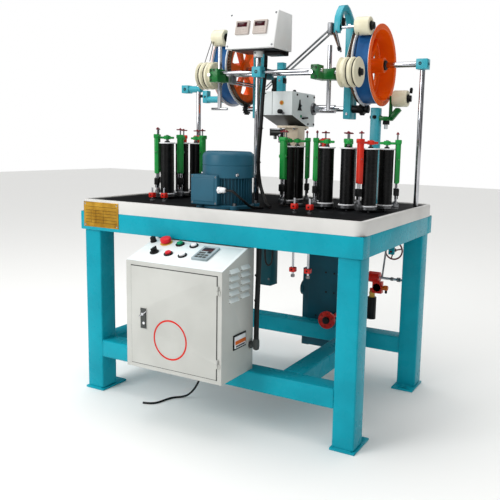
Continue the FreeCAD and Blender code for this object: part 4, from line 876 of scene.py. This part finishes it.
counterCase = {"half": 107.5, "low": 1369, "top": 1509, "faceUp": (0, 35, 140), "middle": (0, -97.5, 1439)}
low, top, half = counterCase["low"], counterCase["top"], counterCase["half"]
case = addProfile([(-115, low), (-80, top), (28, top), (28, low)], "X", -half, half, "boxWhite", bevel=1.6,
                  name="counterCase")
lidParts = [addBlock((-105.5, -70, -1), (105.5, 70, 1.2), "boxWhite", bevel=1.0)]
for across in (-98, 98):
    for up in (-62, 62):
        lidParts.append(addCapScrew((across, up, 1.2), (0, 0, 1), 4, 1.6, "machinedSteel"))
lidPiece = layOn(joinPieces(lidParts, "counterLid"), counterCase["middle"], (1, 0, 0),
                 counterCase["faceUp"])
under = [addBlock((-90, -96, 1365.5), (98, 24, 1369.5), "blackPlastic", bevel=1),
         addBlock((24, -40, 1352), (92, 16, 1366), "blackPlastic", bevel=3),
         addTurned([(0, 9), (5, 10), (14, 10), (16, 7)], (94, 8, 1368), (0, 0, -1), "blackPlastic",
                   sides=24),
         addTurned([(0, 7), (4, 8), (10, 8), (12, 5)], (18, -16, 1368), (0, 0, -1), "blackPlastic",
                   sides=24)]
mount(case, "frame", "grey_paint", "counter_box")
mount(lidPiece, "frame", "grey_paint", "counter_box")
mount(joinPieces(under, "caseUnderside"), "frame", "black_plastic", "counter_box")


def modelCounter(name):
    # a panel counter: pale body, dark red window above, a row of faint keys below
    body = insetFace(addBlock((-30, -27, -1), (30, 27, 9), "warmGreyPlastic", bevel=2, steps=3), (0, 0, 1),
                     4, -0.8)
    window = insetFace(addBlock((-23, 2, 6), (21, 20, 8.8), "darkDisplay", bevel=0.6), (0, 0, 1), 1.5, -0.5)
    parts = [body, window]
    for index in range(4):
        for row in range(2):
            parts.append(addBlock((-22 + 11.5 * index, -19 + 9 * row, 6),
                                  (-14 + 11.5 * index, -14 + 9 * row, 8.9),
                                  "warmGreyPlastic", bevel=0.8))
    return joinPieces(parts, name)


for index, across in enumerate((-39, 39)):
    piece = layOn(modelCounter("counter_%d" % (index + 1)), (across, -95.5, 1447), (1, 0, 0),
                  counterCase["faceUp"])
    mount(piece, "frame", "display", "counters")
print("counter box built")

# table: square tube legs and rails, a box-section frame, the cast rim and the bed

table = {"legs": ((-590, -510), (510, 590)), "sides": ((-380, -300), (300, 380)), "cross": (277, 357),
         "rail": (142, 212), "frame": (660, 732)}


def addSeam(start, end, radius=2.6):
    # a weld bead along a joint, painted over
    bead = addRod(start, end, radius, "tealEnamel", sides=10, bevel=1.5)
    wave = bead.modifiers.new("wave", "DISPLACE")
    ripple = bpy.data.textures.new("ripple", "CLOUDS")
    ripple.noise_scale = 0.006
    wave.texture = ripple
    wave.strength = 0.0012
    bpy.ops.object.modifier_apply(modifier="wave")
    return bead


legs, feet, rails, seams = [], [], [], []
for left, right in table["legs"]:
    for front, back in table["sides"]:
        legs.append(addBlock((left, front, 8), (right, back, 660), "tealEnamel", bevel=6, steps=4))
        low, high = (front - 6, back + 50) if front < 0 else (front - 50, back + 6)
        plate = addBlock((left - 6, low, 0), (right + 6, high, 8), "tealEnamel", bevel=1.2)
        boltY = back + 25 if front < 0 else front - 25
        cutter = addRod(((left + right) / 2, boltY, -5), ((left + right) / 2, boltY, 15), 7, "tealEnamel")
        bore = plate.modifiers.new("bore", "BOOLEAN")
        bore.object = cutter
        selectOnly(plate)
        bpy.ops.object.modifier_apply(modifier="bore")
        bpy.data.objects.remove(cutter)
        feet.append(plate)
        for startX, endX, y in ((left + 8, right - 8, front - 0.5), (left + 8, right - 8, back + 0.5)):
            seams.append(addSeam((startX, y, 8.5), (endX, y, 8.5)))
            seams.append(addSeam((startX, y, 659.5), (endX, y, 659.5)))
        for x in (left - 0.5, right + 0.5):
            seams.append(addSeam((x, front + 8, 659.5), (x, back - 8, 659.5)))
low, high = table["rail"]
for front, back in table["sides"]:
    rails.append(addBlock((-512, front + 0.5, low), (512, back - 0.5, high), "tealEnamel", bevel=6,
                          steps=4))
    for x in (-509, 509):
        seams.append(addSeam((x, front + 1.5, low + 6), (x, front + 1.5, high - 6)))
        seams.append(addSeam((x, front + 6, high - 0.5), (x, back - 6, high - 0.5)))
rails.append(addBlock((-589.5, -302, low), (-510.5, 302, high), "tealEnamel", bevel=6, steps=4))
rails.append(addBlock((table["cross"][0], -302, low), (table["cross"][1], 302, high), "tealEnamel", bevel=6,
                      steps=4))
for y in (-300, 300):
    seams.append(addSeam((283, y, high - 0.5), (351, y, high - 0.5)))
low, high = table["frame"]
frameParts = [addBlock((-600, y, low), (600, y + 60, high), "tealEnamel", bevel=1.4,
                       steps=3) for y in (-390, 330)]
frameParts += [addBlock((x, -389, low), (x + 60, 389, high), "tealEnamel", bevel=1.4,
                        steps=3) for x in (-600, 540)]
mount(joinPieces(legs, "tableLegs"), "frame", "teal_paint", "legs")
mount(joinPieces(feet, "footPlates"), "frame", "teal_paint", "foot_plates")
mount(joinPieces(rails, "lowerRails"), "frame", "teal_paint", "lower_rails")
mount(joinPieces(frameParts, "tableFrame"), "frame", "teal_paint", "apron_frame")
mount(joinPieces(seams, "weldSeams"), "frame", "teal_paint")

rim = softenNode("bed_rim", "bedRim", "greyWhiteEnamel", bevel=1.4, steps=3)
mount(rim, "frame", "cream_paint", "bed_rim")

# nameplate: an etched brass sheet, its fields ruled but left blank

plate = {"left": -582, "right": -405, "low": 673, "top": 771, "face": -392}
brass = [insetFace(addBlock((plate["left"], plate["face"], plate["low"]),
                            (plate["right"], -390, plate["top"]),
                            "brassSheet", bevel=0.5), (0, -1, 0), 3, -0.25)]
for high in (690, 702, 714, 726, 738, 752):
    brass.append(addBlock((-572, -392.1, high), (-415, -391.5, high + 1.1), "darkBraid", bevel=0.2,
                          steps=1))
for across in (-545, -520, -482):
    brass.append(addBlock((across, -392.1, 690), (across + 1.1, -391.5, 739), "darkBraid", bevel=0.2,
                          steps=1))
for across in (-574, -413):
    for high in (681, 763):
        brass.append(addTurned([(-0.3, 3.6), (0.6, 3.5), (1.4, 2.4)], (across, plate["face"], high),
                               (0, -1, 0),
                               "brightChrome", sides=20))
mount(joinPieces(brass, "nameplateSheet"), "frame", "brass_plate", "nameplate")
print("table built")

# stop rods through the bed

stopPlaces = ((290, -268), (348, -265), (-354, -253), (-305, -240))
stopParts, stopNuts = [], []
for across, deep in stopPlaces:
    stopParts.append(addRod((across, deep, 548), (across, deep, 830), 4, "brightChrome", sides=16))
    for low, high in ((790, 812), (566, 586)):
        stopNuts.append(addBlock((across - 11, deep - 10, low + 1), (across + 11, deep + 10, high - 2),
                                 "redEnamel",
                                 bevel=2.5, steps=3))
        stopNuts.append(addCapScrew((across, deep - 10, (low + high) / 2), (0, -1, 0), 3, 2))
    stopParts.append(addTurned([(548, 6), (549, 7), (557, 7), (558, 6)], (across, deep, 0), (0, 0, 1),
                               "machinedSteel", sides=6))
    stopParts.append(addTurned([(776.2, 9), (782, 9), (783, 8)], (across, deep, 0), (0, 0, 1),
                               "machinedSteel", sides=6))
    stopNuts.append(addTurned([(724, 11), (725, 12), (755.8, 12)], (across, deep, 0), (0, 0, 1),
                              "blackPlastic", sides=20))
    stopNuts.append(addTurned([(664, 9), (665, 10), (724, 10)], (across, deep, 0), (0, 0, 1),
                              "blackPlastic", sides=20))
mount(joinPieces(stopParts, "stopRods"), "frame", "steel", "stop_rods")
mount(joinPieces(stopNuts, "stopBlocks"), "frame", "red_paint", "stop_rods")
print("stops set")

# motor: terminal box, gland, eye and bolts

terminal = [addBlock((-95, -350, 790), (20, -290, 898), "motorEnamel", bevel=3, steps=3),
            addBlock((-95, -349, 790), (20, -343, 898), "motorEnamel", bevel=2.5, steps=4),
            addBlock((-84, -352, 801), (9, -344, 887), "motorEnamel", bevel=3.4, steps=5)]
for across in (-88, 13):
    for high in (797, 891):
        terminal.append(addCapScrew((across, -349, high), (0, -1, 0), 3.6, 2, "machinedSteel"))
mount(joinPieces(terminal, "terminalBox"), "frame", "motor_paint", "terminal_box")
motorGland = [addTurned([(0, 12), (1, 13), (9, 13), (10, 12)], (20, -342, 846), (1, 0, 0), "whitePlastic",
                        sides=6),
              addTurned([(9, 10), (20, 10.5), (28, 9), (32, 6.5)], (20, -342, 846), (1, 0, 0),
                        "whitePlastic", sides=32)]
mount(joinPieces(motorGland, "motorGland"), "frame", "white_plastic", "terminal_box")
eye = [addTurned([(896, 9), (898, 10), (903, 10), (905, 7)], (-36, -318, 0), (0, 0, 1), "motorEnamel",
                 sides=28)]
bpy.ops.object.select_all(action="DESELECT")
bpy.ops.mesh.primitive_torus_add(location=(-0.036, -0.318, 0.916), rotation=(math.pi / 2, 0, 0),
                                 major_radius=0.011,
                                 minor_radius=0.0035, major_segments=32, minor_segments=12)
eye.append(settle("eyeRing", "machinedSteel"))
for turn in (215, 322, 35, 145):
    away = Vector((math.cos(math.radians(turn)), math.sin(math.radians(turn)), 0))
    eye.append(addHexBolt(Vector((0, -245, 900)) + away * 96, away, 10, 4, "brightChrome"))
for turn in (45, 135, 225, 315):
    away = Vector((math.cos(math.radians(turn)), math.sin(math.radians(turn)), 0))
    spot = Vector(motor["axis"]) + away * 104
    eye.append(addTurned([(776, 15), (777, 16), (788, 16), (790, 14)], spot, (0, 0, 1), "motorEnamel",
                         sides=32))
    eye.append(addHexBolt(spot + Vector((0, 0, 790)), (0, 0, 1), 15, 9))
mount(joinPieces(eye, "motorFittings"), "frame", "motor_paint")
print("motor dressed")

# take-up gearbox with its stand, feeler rods and column

gearbox = {"side": 97, "glass": (50, 62, 1178)}
case = softenNode("take_up_gearbox", "takeUpGearbox", "panelWhiteAndLouvreHighlight", bevel=1.2)
tint(case, "darkSheetAndGapShade", (-60, 60, 1080), (120, 201, 1128.4))
tint(case, "turquoiseEnamel", (-18, 130, 1224), (14, 170, 1350))
tint(case, "blackPlastic", (-50, 130, 1224), (-16.1, 170, 1300))
tint(case, "machinedSteel", (14, 80, 1295), (300, 180, 1475))
tint(case, "machinedSteel", (97.2, 200, 1100), (110, 300, 1200))
tint(case, "blackPlastic", (30, 40, 1120), (60, 61.5, 1160))
mount(case, "frame", "grey_paint", "take_up_gearbox")
dressing = [addBlock((5.4, 61.6, 1130), (6.8, 62.4, 1222), "blackPlastic", bevel=0.2, steps=1),
            addBlock((5.4, 63, 1222.7), (6.8, 269, 1223.3), "blackPlastic", bevel=0.2, steps=1)]
dressing.append(addTurned([(0, 9), (2, 9.4), (3, 8.4), (3, 6.4)], gearbox["glass"], (0, -1, 0),
                          "yellowPlastic", sides=32))
dressing.append(addTurned([(0, 5), (5, 5), (6, 4)], (59, 62, 1136), (0, -1, 0), "machinedSteel", sides=20))
dressing.append(addTurned([(2.6, 6.3), (3.2, 5.8)], gearbox["glass"], (0, -1, 0), "orangePlastic",
                          sides=24))
dressing.append(addProfile([(110, 1150), (145, 1150), (136, 1164), (130, 1194), (126, 1194), (118, 1164)],
                           "X",
                           gearbox["side"], gearbox["side"] + 3.5, "blackPlastic", bevel=0.6))
dressing.append(addTurned([(0, 7), (6, 7), (7, 5)], (gearbox["side"], 127, 1168), (1, 0, 0), "blackPlastic",
                          sides=24))
dressing.append(addTurned([(0, 3), (3, 3), (3.6, 2.2)], (gearbox["side"], 142, 1170), (1, 0, 0),
                          "brightChrome", sides=20))
dressing.append(addRod((104, 150, 1119), (104, 190, 1123), 4, "blackPlastic"))
for deep, high in ((153, 1119), (187, 1123)):
    dressing.append(addRod((96, deep, high), (104, deep, high), 3, "blackPlastic", sides=16))
dressing.append(addTurned([(0, 5.5), (2.6, 5.5), (3.4, 4.4)], (gearbox["side"], 141, 1128), (1, 0, 0),
                          "greenPlastic", sides=24))
dressing.append(addTurned([(0, 7), (4, 7), (7, 5), (8, 3)], (88, 98, 1223), (0, 0, 1), "blackPlastic",
                          sides=24))
for deep, high in ((104, 1212), (198, 1212), (262, 1212), (262, 1098), (208, 1098)):
    dressing.append(addCapScrew((gearbox["side"], deep, high), (1, 0, 0), 4.5, 3))
for turn in (45, 135, 225, 315):
    spot = (105, 255 + 19 * math.cos(math.radians(turn)), 1162.5 + 19 * math.sin(math.radians(turn)))
    dressing.append(addCapScrew(spot, (1, 0, 0), 3, 2.4, "machinedSteel"))
mount(joinPieces(dressing, "gearboxFittings"), "frame", "black_plastic")
head = [addTurned([(1226, 17), (1230, 18), (1240, 18), (1243, 15), (1262, 15), (1264, 19), (1280, 19),
                   (1286, 14)],
                  (-28, 150, 0), (0, 0, 1), "blackPlastic", sides=40),
        addRod((-38, 140, 1262), (-66, 134, 1235), 2.6, "machinedSteel", sides=14),
        addRod((-38, 134, 1272), (-62, 128, 1248), 2.6, "machinedSteel", sides=14),
        addBlock((-22, 136, 1262), (16, 164, 1284), "blackPlastic", bevel=2.5, steps=3),
        addCapScrew((-4, 136, 1273), (0, -1, 0), 5, 3, "machinedSteel")]
mount(joinPieces(head, "feelerHead"), "frame", "black_plastic")
column = softenNode("gearbox_column", "gearboxColumn", "creamEnamel", bevel=2)
tint(column, "blackPlastic", (-41, 120, 1040), (31.8, 165, 1078))
mount(column, "frame", "cream_paint", "gearbox_column")
works = [addBlock((-39, 122, 1070), (30, 162, 1075), "machinedSteel", bevel=1),
         addBlock((-33, 124, 1058), (22, 160, 1066), "darkSheetAndGapShade", bevel=1.5),
         addTurned([(1018, 11), (1020, 13), (1040, 13), (1042, 16), (1057, 16)], (8, 142, 0), (0, 0, 1),
                   "blackPlastic",
                   sides=32),
         addTurned([(1032, 6), (1033, 7), (1057, 7)], (-22, 142, 0), (0, 0, 1), "machinedSteel", sides=24)]
for high in (1026, 1048):
    works.append(addHexBolt((8, 127, high), (0, -1, 0), 8, 4, "brightChrome"))
for across, deep in ((22, 108), (84, 108), (22, 214), (84, 214)):
    works.append(addHexBolt((across, deep, 1079), (0, 0, -1), 10, 6, "machinedSteel"))
mount(joinPieces(works, "columnWorks"), "frame", "steel")
foot = [addBlock((22, 115, 776), (103, 200, 786), "blackPlastic", bevel=2)]
for across, deep in ((28, 121), (97, 121), (28, 194), (97, 194)):
    foot.append(addHexBolt((across, deep, 786), (0, 0, 1), 9, 5))
mount(joinPieces(foot, "columnFoot"), "frame", "black_plastic")
shaft = softenNode("drive_shaft", "driveShaft", "brightChrome", bevel=0.4)
tint(shaft, "blackPlastic", (278, 225, 1130), (352, 290, 1195))
tint(shaft, "blackPlastic", (-251, 225, 1130), (-224, 290, 1195))
mount(shaft, "drive_shaft", "steel", "drive_shaft")
rods = softenNode("chrome_rods", "chromeRods", "brightChrome", bevel=0.3)
mount(rods, "frame", "chrome", "chrome_rods")
print("gearbox and shafts built")

# control cabinet: folded sheet shell, door, latch, louvres and breaker window

cabinet = {"louvres": ((-503, -451, 486), (-432, -381, 489)), "pitch": 24.6}
shell = softenNode("cabinet_shell", "cabinetShell", "paleGreyEnamel", bevel=1.6)
clearMarks(shell)
for face in shell.data.polygons:
    face.select = face.center.x > 0.1752 and face.center.y > -0.4  # the conduit's elbow is made below
bpy.ops.object.mode_set(mode="EDIT")
bpy.ops.mesh.delete(type="FACE")
bpy.ops.object.mode_set(mode="OBJECT")
mount(shell, "frame", "grey_paint", "cabinet_shell")
door = softenNode("cabinet_door", "cabinetDoor", "paleGreyEnamel", bevel=1.1)
mount(door, "cabinet_door", "grey_paint", "cabinet_door")
ring = addTurned([(0, 65.5), (0, 71.5), (0.5, 71.5), (0.5, 65.5)], (-35, -548.3, 335), (0, -1, 0),
                 "redEnamel", sides=96,
                 closed=True)
plateDark = addBlock((-162.4, -551.25, 361), (-136.6, -550.7, 434), "darkSheetAndGapShade", bevel=0.2, steps=1)
mount(joinPieces([ring, plateDark], "doorMark"), "cabinet_door", "red_paint")
lever = softenNode("door_latch", "doorLatch", "darkSheetAndGapShade", bevel=1)
for vertex in lever.data.vertices:
    vertex.co.y = max(vertex.co.y, -553.4 * mm)
latch = [lever, addRod((-166, -553, 402), (-136, -553, 424), 2.9, "brightChrome"),
         addRod((-151, -552, 413), (-151, -555.8, 413), 5.5, "brightChrome", sides=20),
         addTurned([(0, 5), (1, 5), (1.6, 3.8)], (-146, -553.4, 381), (0, -1, 0), "whitePlastic", sides=24)]
mount(joinPieces(latch, "latchPaddle"), "door_latch", "steel", "door_latch")
# dark strips laid on the shell round the door's edge: painted shadow in the door gap, not a part
shadeStrips = []
for low, high in (((-208, 576), (158, 583)), ((-208, 226), (158, 233)), ((-208, 226), (-202, 583)),
                  ((152, 226), (158.4, 583))):
    shadeStrips.append(addBlock((low[0], -545.28, low[1]), (high[0], -544.9, high[1]), "darkSheetAndGapShade", bevel=0.05,
                         steps=1))
slats = []
for front, back, low in cabinet["louvres"]:
    for index in range(5):
        level = low + cabinet["pitch"] * index
        hood = [(174.6, level), (184, level), (185, level + 1.6), (180, level + 8), (176, level + 13),
                (174.6, level + 14)]
        # the slats take a whiter finish than the shell they are pressed from: painted highlight for the light
        # they catch
        slats.append(addProfile(hood, "Y", front, back, "panelWhiteAndLouvreHighlight", bevel=1.2))
        # a dark strip just under each hood: painted shade below the louvre
        shadeStrips.append(addBlock((174.8, front + 2, level - 3), (175.25, back - 2, level), "darkSheetAndGapShade",
                             bevel=0.05,
                             steps=1))
mount(joinPieces(slats, "louvres"), "frame", "grey_paint")
window = [addBlock((174.6, -476, 313), (178, -395, 366), "blackPlastic", bevel=1.2),
          addBlock((176, -470, 319), (180, -401, 360), "whitePlastic", bevel=1),
          addBlock((179, -468, 332), (182.2, -403, 345), "orangePlastic", bevel=1),
          addBlock((179, -464, 322), (180.6, -407, 328), "darkSheetAndGapShade", bevel=0.6)]
elbow = [addTurned([(0, 12), (2, 13), (8, 13), (10, 10), (24, 9.8)], (175, -363, 306), (1, 0, 0),
                   "darkSheetAndGapShade", sides=32),
         addTurned([(290, 6), (293, 10.5), (306, 12), (322, 12), (328, 10.5), (330, 9.4)], (200, -363, 0),
                   (0, 0, 1),
                   "darkSheetAndGapShade", sides=32)]
mount(joinPieces(shadeStrips, "cabinetShadeStrips"), "frame", "grey_paint")
mount(joinPieces(window + elbow, "breakerWindow"), "frame", "black_plastic")

# sloped panel: pieces are built flat, then laid on the slope

slope = {"origin": (0, -545, 596),
         "up": (0, math.cos(math.radians(20.242)), math.sin(math.radians(20.242)))}


def onPanel(piece, body, slotName, *nodes):
    return mount(layOn(piece, slope["origin"], (1, 0, 0), slope["up"]), body, slotName, *nodes)


sheet = insetFace(addBlock((-230, 2, 0), (175, 168.4, 2), "panelWhiteAndLouvreHighlight", bevel=0.8), (0, 0, 1), 10, 0.9)
onPanel(sheet, "frame", "grey_paint", "control_panel")
bezels = []
for u, v in ((-93, 140), (-32, 140), (-155, 68), (-93, 68), (-32, 68)):
    bezels.append(addTurned([(1, 11.2), (1, 16.5), (6, 16.5), (7.6, 14.4), (7.6, 11.2)], (u, v, 0),
                            (0, 0, 1),
                            "blackPlastic", sides=40, closed=True))
onPanel(joinPieces(bezels, "buttonBezels"), "frame", "black_plastic")
base = addTurned([(1, 11.2), (1, 23), (3.6, 23), (4.4, 22), (4.4, 11.2)], (-155, 140, 0), (0, 0, 1),
                 "yellowPlastic",
                 sides=48, closed=True, name="stopBase")
onPanel(base, "frame", "black_plastic")
capped = [(-8, 10.9), (11.6, 10.9), (13, 9.8), (13, 8.6), (12.3, 8)]
for node, u, v, material, slotName in (("green_button", -93, 140, "greenPlastic", "green_plastic"),
                                       ("red_button", -93, 68, "redPlastic", "red_plastic"),
                                       ("white_button", -32, 68, "whitePlastic", "white_plastic")):
    onPanel(addTurned(capped, (u, v, 0), (0, 0, 1), material, sides=40, name=node + "Cap"), node, slotName,
            node)
mushroom = [(-8, 10.9), (9, 10.9), (9, 18.6), (10.4, 20), (19, 20), (22, 19), (24, 16), (25, 11), (25, 4)]
onPanel(addTurned(mushroom, (-155, 140, 0), (0, 0, 1), "redPlastic", sides=56, name="stopMushroom"),
        "estop_button",
        "red_plastic", "estop_button")
lens = [(-4, 10.9), (9, 10.9), (11.6, 9.4), (12.7, 6.5), (13, 3)]
onPanel(addTurned(lens, (-32, 140, 0), (0, 0, 1), "whitePlastic", sides=40, name="lampLens"), "frame",
        "white_plastic", "power_lamp")
selector = [addTurned([(-6, 6), (6.3, 6), (6.3, 12), (10, 12), (11, 11)], (-155, 68, 0), (0, 0, 1),
                      "blackPlastic",
                      sides=40),
            addBlock((-158.6, 54, 9), (-151.4, 82, 23), "blackPlastic", bevel=2, steps=3),
            addBlock((-155.6, 70, 22.6), (-154.4, 81, 23.1), "whitePlastic", bevel=0.1, steps=1)]
onPanel(joinPieces(selector, "selectorGrip"), "selector_switch", "black_plastic", "selector_switch")
knob = [addTurned([(-6, 4), (2.4, 4), (2.4, 11.6), (4, 12), (7, 12), (8, 9.6), (20, 9), (22, 7.6)],
                  (-214, 140, 0),
                  (0, 0, 1), "blackPlastic", sides=32),
        addBlock((-214.6, 141, 21.6), (-213.4, 148, 22), "whitePlastic", bevel=0.1, steps=1)]
for index in range(12):
    turn = math.radians(30 * index)
    spot = Vector((-214 + 9.2 * math.cos(turn), 140 + 9.2 * math.sin(turn), 9))
    knob.append(addRod(spot, spot + Vector((0, 0, 11)), 1.3, "blackPlastic", sides=8))
onPanel(joinPieces(knob, "speedKnobCap"), "speed_knob", "black_plastic", "speed_knob")
keypad = [insetFace(addBlock((17, 51, 1.5), (82, 138, 11), "silverPlastic", bevel=1.4, steps=3), (0, 0, 1),
                    4, -1),
          addBlock((26, 104, 9.6), (70, 128, 10.8), "darkDisplay", bevel=0.5),
          addBlock((56, 92, 9.6), (70, 103, 10.8), "blackPlastic", bevel=0.5)]
for u in (25, 41, 57):
    for v in (60, 74):
        keypad.append(addBlock((u, v, 9.6), (u + 13, v + 9, 11), "darkSheetAndGapShade", bevel=1, steps=3))
keypad.append(addBlock((25, 88, 9.6), (50, 97, 11), "darkSheetAndGapShade", bevel=1, steps=3))
onPanel(joinPieces(keypad, "speedUnit"), "frame", "black_plastic", "speed_keypad")
print("cabinet dressed")

# drive column, flange disc, handwheel and the valve group under the bed

boltHoles = ((124, 434), (166, 433), (127, 343), (167, 343), (78, 226))
driveColumn = softenNode("drive_column", "driveColumn", "darkCasting", bevel=2)
mount(driveColumn, "frame", "teal_paint", "drive_column")
holes = [addTurned([(-0.6, 34.5), (2.4, 34.5), (3.4, 32), (3.4, 24), (1, 22)], (-10, 430, 340), (-1, 0, 0),
                   "blackPlastic",
                   sides=48),
         addTurned([(0, 12), (5, 12), (6, 10)], (-11, 430, 340), (-1, 0, 0), "machinedSteel", sides=32)]
for across, high in boltHoles:
    holes.append(addCapScrew((across, 384, high), (0, -1, 0), 4.6, 2.2))
mount(joinPieces(holes, "columnBolts"), "frame", "black_plastic")
disc = softenNode("flange_disc", "flangeDisc", "redEnamel", bevel=0.8)
tint(disc, "blackPlastic", (166, 250, 226), (204, 267.5, 264))
studs = [disc]
for index in range(6):
    turn = math.radians(60 * index + 20)
    studs.append(addTurned([(-0.5, 4.2), (0.4, 4.2), (0.4, 3), (-0.3, 2.6)],
                           (185 + 29 * math.cos(turn), 268, 245 + 29 * math.sin(turn)), (0, -1, 0),
                           "blackPlastic",
                           sides=20))
studs.append(addTurned([(0, 36), (0, 39.1), (1.4, 39.1), (1.4, 36)], (185, 268, 245), (0, -1, 0),
                       "redEnamel", sides=72,
                       closed=True))
mount(joinPieces(studs, "flangeDiscPiece"), "flange_disc", "red_paint", "flange_disc")
hand = softenNode("handwheel", "handwheelRim", "maroonEnamel", bevel=0, angle=50)
mount(hand, "handwheel", "maroon_paint", "handwheel")
under = softenNode("underside_drive", "undersideDrive", "redEnamel", bevel=0.8)
tint(under, "deepTeal", (-130, 160, 380), (-40, 240, 760))
tint(under, "tealEnamel", (415, 370, 545), (450, 395, 662))
tint(under, "brightChrome", (199, 390, 430), (329, 410, 446))
tint(under, "brightChrome", (378.4, 392, 430), (486, 408, 446))
tint(under, "machinedSteel", (386, 380, 446.5), (420, 405, 660))
tint(under, "yellowPlastic", (330, 386, 346.5), (360, 414, 367.5))
tint(under, "blackPlastic", (320, 370, 240), (370, 430, 346.4))
tint(under, "orangePlastic", (392.5, 388, 380), (418, 412, 404))
mount(under, "frame", "red_paint", "underside_drive")
valve = [addTurned([(348, 13), (356, 13), (357, 12)], (346, 400, 0), (0, 0, 1), "yellowPlastic", sides=6),
         addTurned([(360, 14), (369, 14), (370, 13)], (346, 400, 0), (0, 0, 1), "yellowPlastic", sides=6),
         addTurned([(247, 9), (250, 15), (262, 19.6), (284, 19.8), (298, 17), (306, 13), (316, 14.5),
                    (330, 15.5),
                    (340, 13), (346, 10)], (346, 400, 0), (0, 0, 1), "blackPlastic", sides=48),
         addTurned([(0, 9), (4, 11), (16, 11), (20, 9)], (398, 400, 394), (1, 0, 0), "orangePlastic",
                   sides=32),
         addTurned([(370, 4.5), (372, 5.5), (388, 5.5)], (410, 400, 0), (0, 0, 1), "blackPlastic",
                   sides=20),
         addTurned([(0, 18), (3, 21), (26, 21), (29, 18)], (371, 386, 394), (0, 1, 0), "maroonEnamel",
                   sides=40),
         addTurned([(0, 8), (10, 8), (12, 6.2)], (430, 400, 438), (1, 0, 0), "machinedSteel", sides=24),
         addTurned([(0, 9.5), (14, 9.5), (15, 8.5)], (459, 400, 438), (1, 0, 0), "machinedSteel", sides=24)]
mount(joinPieces(valve, "lubricator"), "frame", "red_paint")
boxParts = []
for high in (420, 730):
    for across in (-112, -56):
        boxParts.append(addHexBolt((across, 170, high), (0, -1, 0), 8, 4, "machinedSteel"))
boxParts.append(addTurned([(0, 20), (10, 20), (12, 18)], (-84, 170, 600), (0, -1, 0), "darkCasting",
                          sides=40))
mount(joinPieces(boxParts, "hangingBolts"), "frame", "steel")
print("underside built")

# held cables with their ties

cables = softenNode("held_cables", "heldCables", "leadJacket", bevel=0, angle=50)
mount(cables, "frame", "rubber", "held_cables")
ties = []
for across, deep, high in ((21, -34, 1208), (25.6, -60, 1072), (21, -66, 940), (200, -363, 470),
                           (201, -363, 560)):
    ties.append(addTurned([(-2, 8.2), (2, 8.2), (2, 9.8), (-2, 9.8)], (across, deep, high), (0.02, -0.1, 1),
                          "blackPlastic", sides=20, closed=True))
mount(joinPieces(ties, "cableTies"), "frame", "black_plastic")
print("cables tied")

# a plain pale floor

bpy.ops.object.select_all(action="DESELECT")
bpy.ops.mesh.primitive_plane_add(size=28, location=(0, 0, 0))
ground = bpy.context.object
ground.name = "ground"
groundFinish, _, groundShader, _ = startFinish("paleFloor")
groundShader.inputs["Base Color"].default_value = hexColour("#F4F4F2")
groundShader.inputs["Roughness"].default_value = 0.8
ground.data.materials.append(groundFinish)
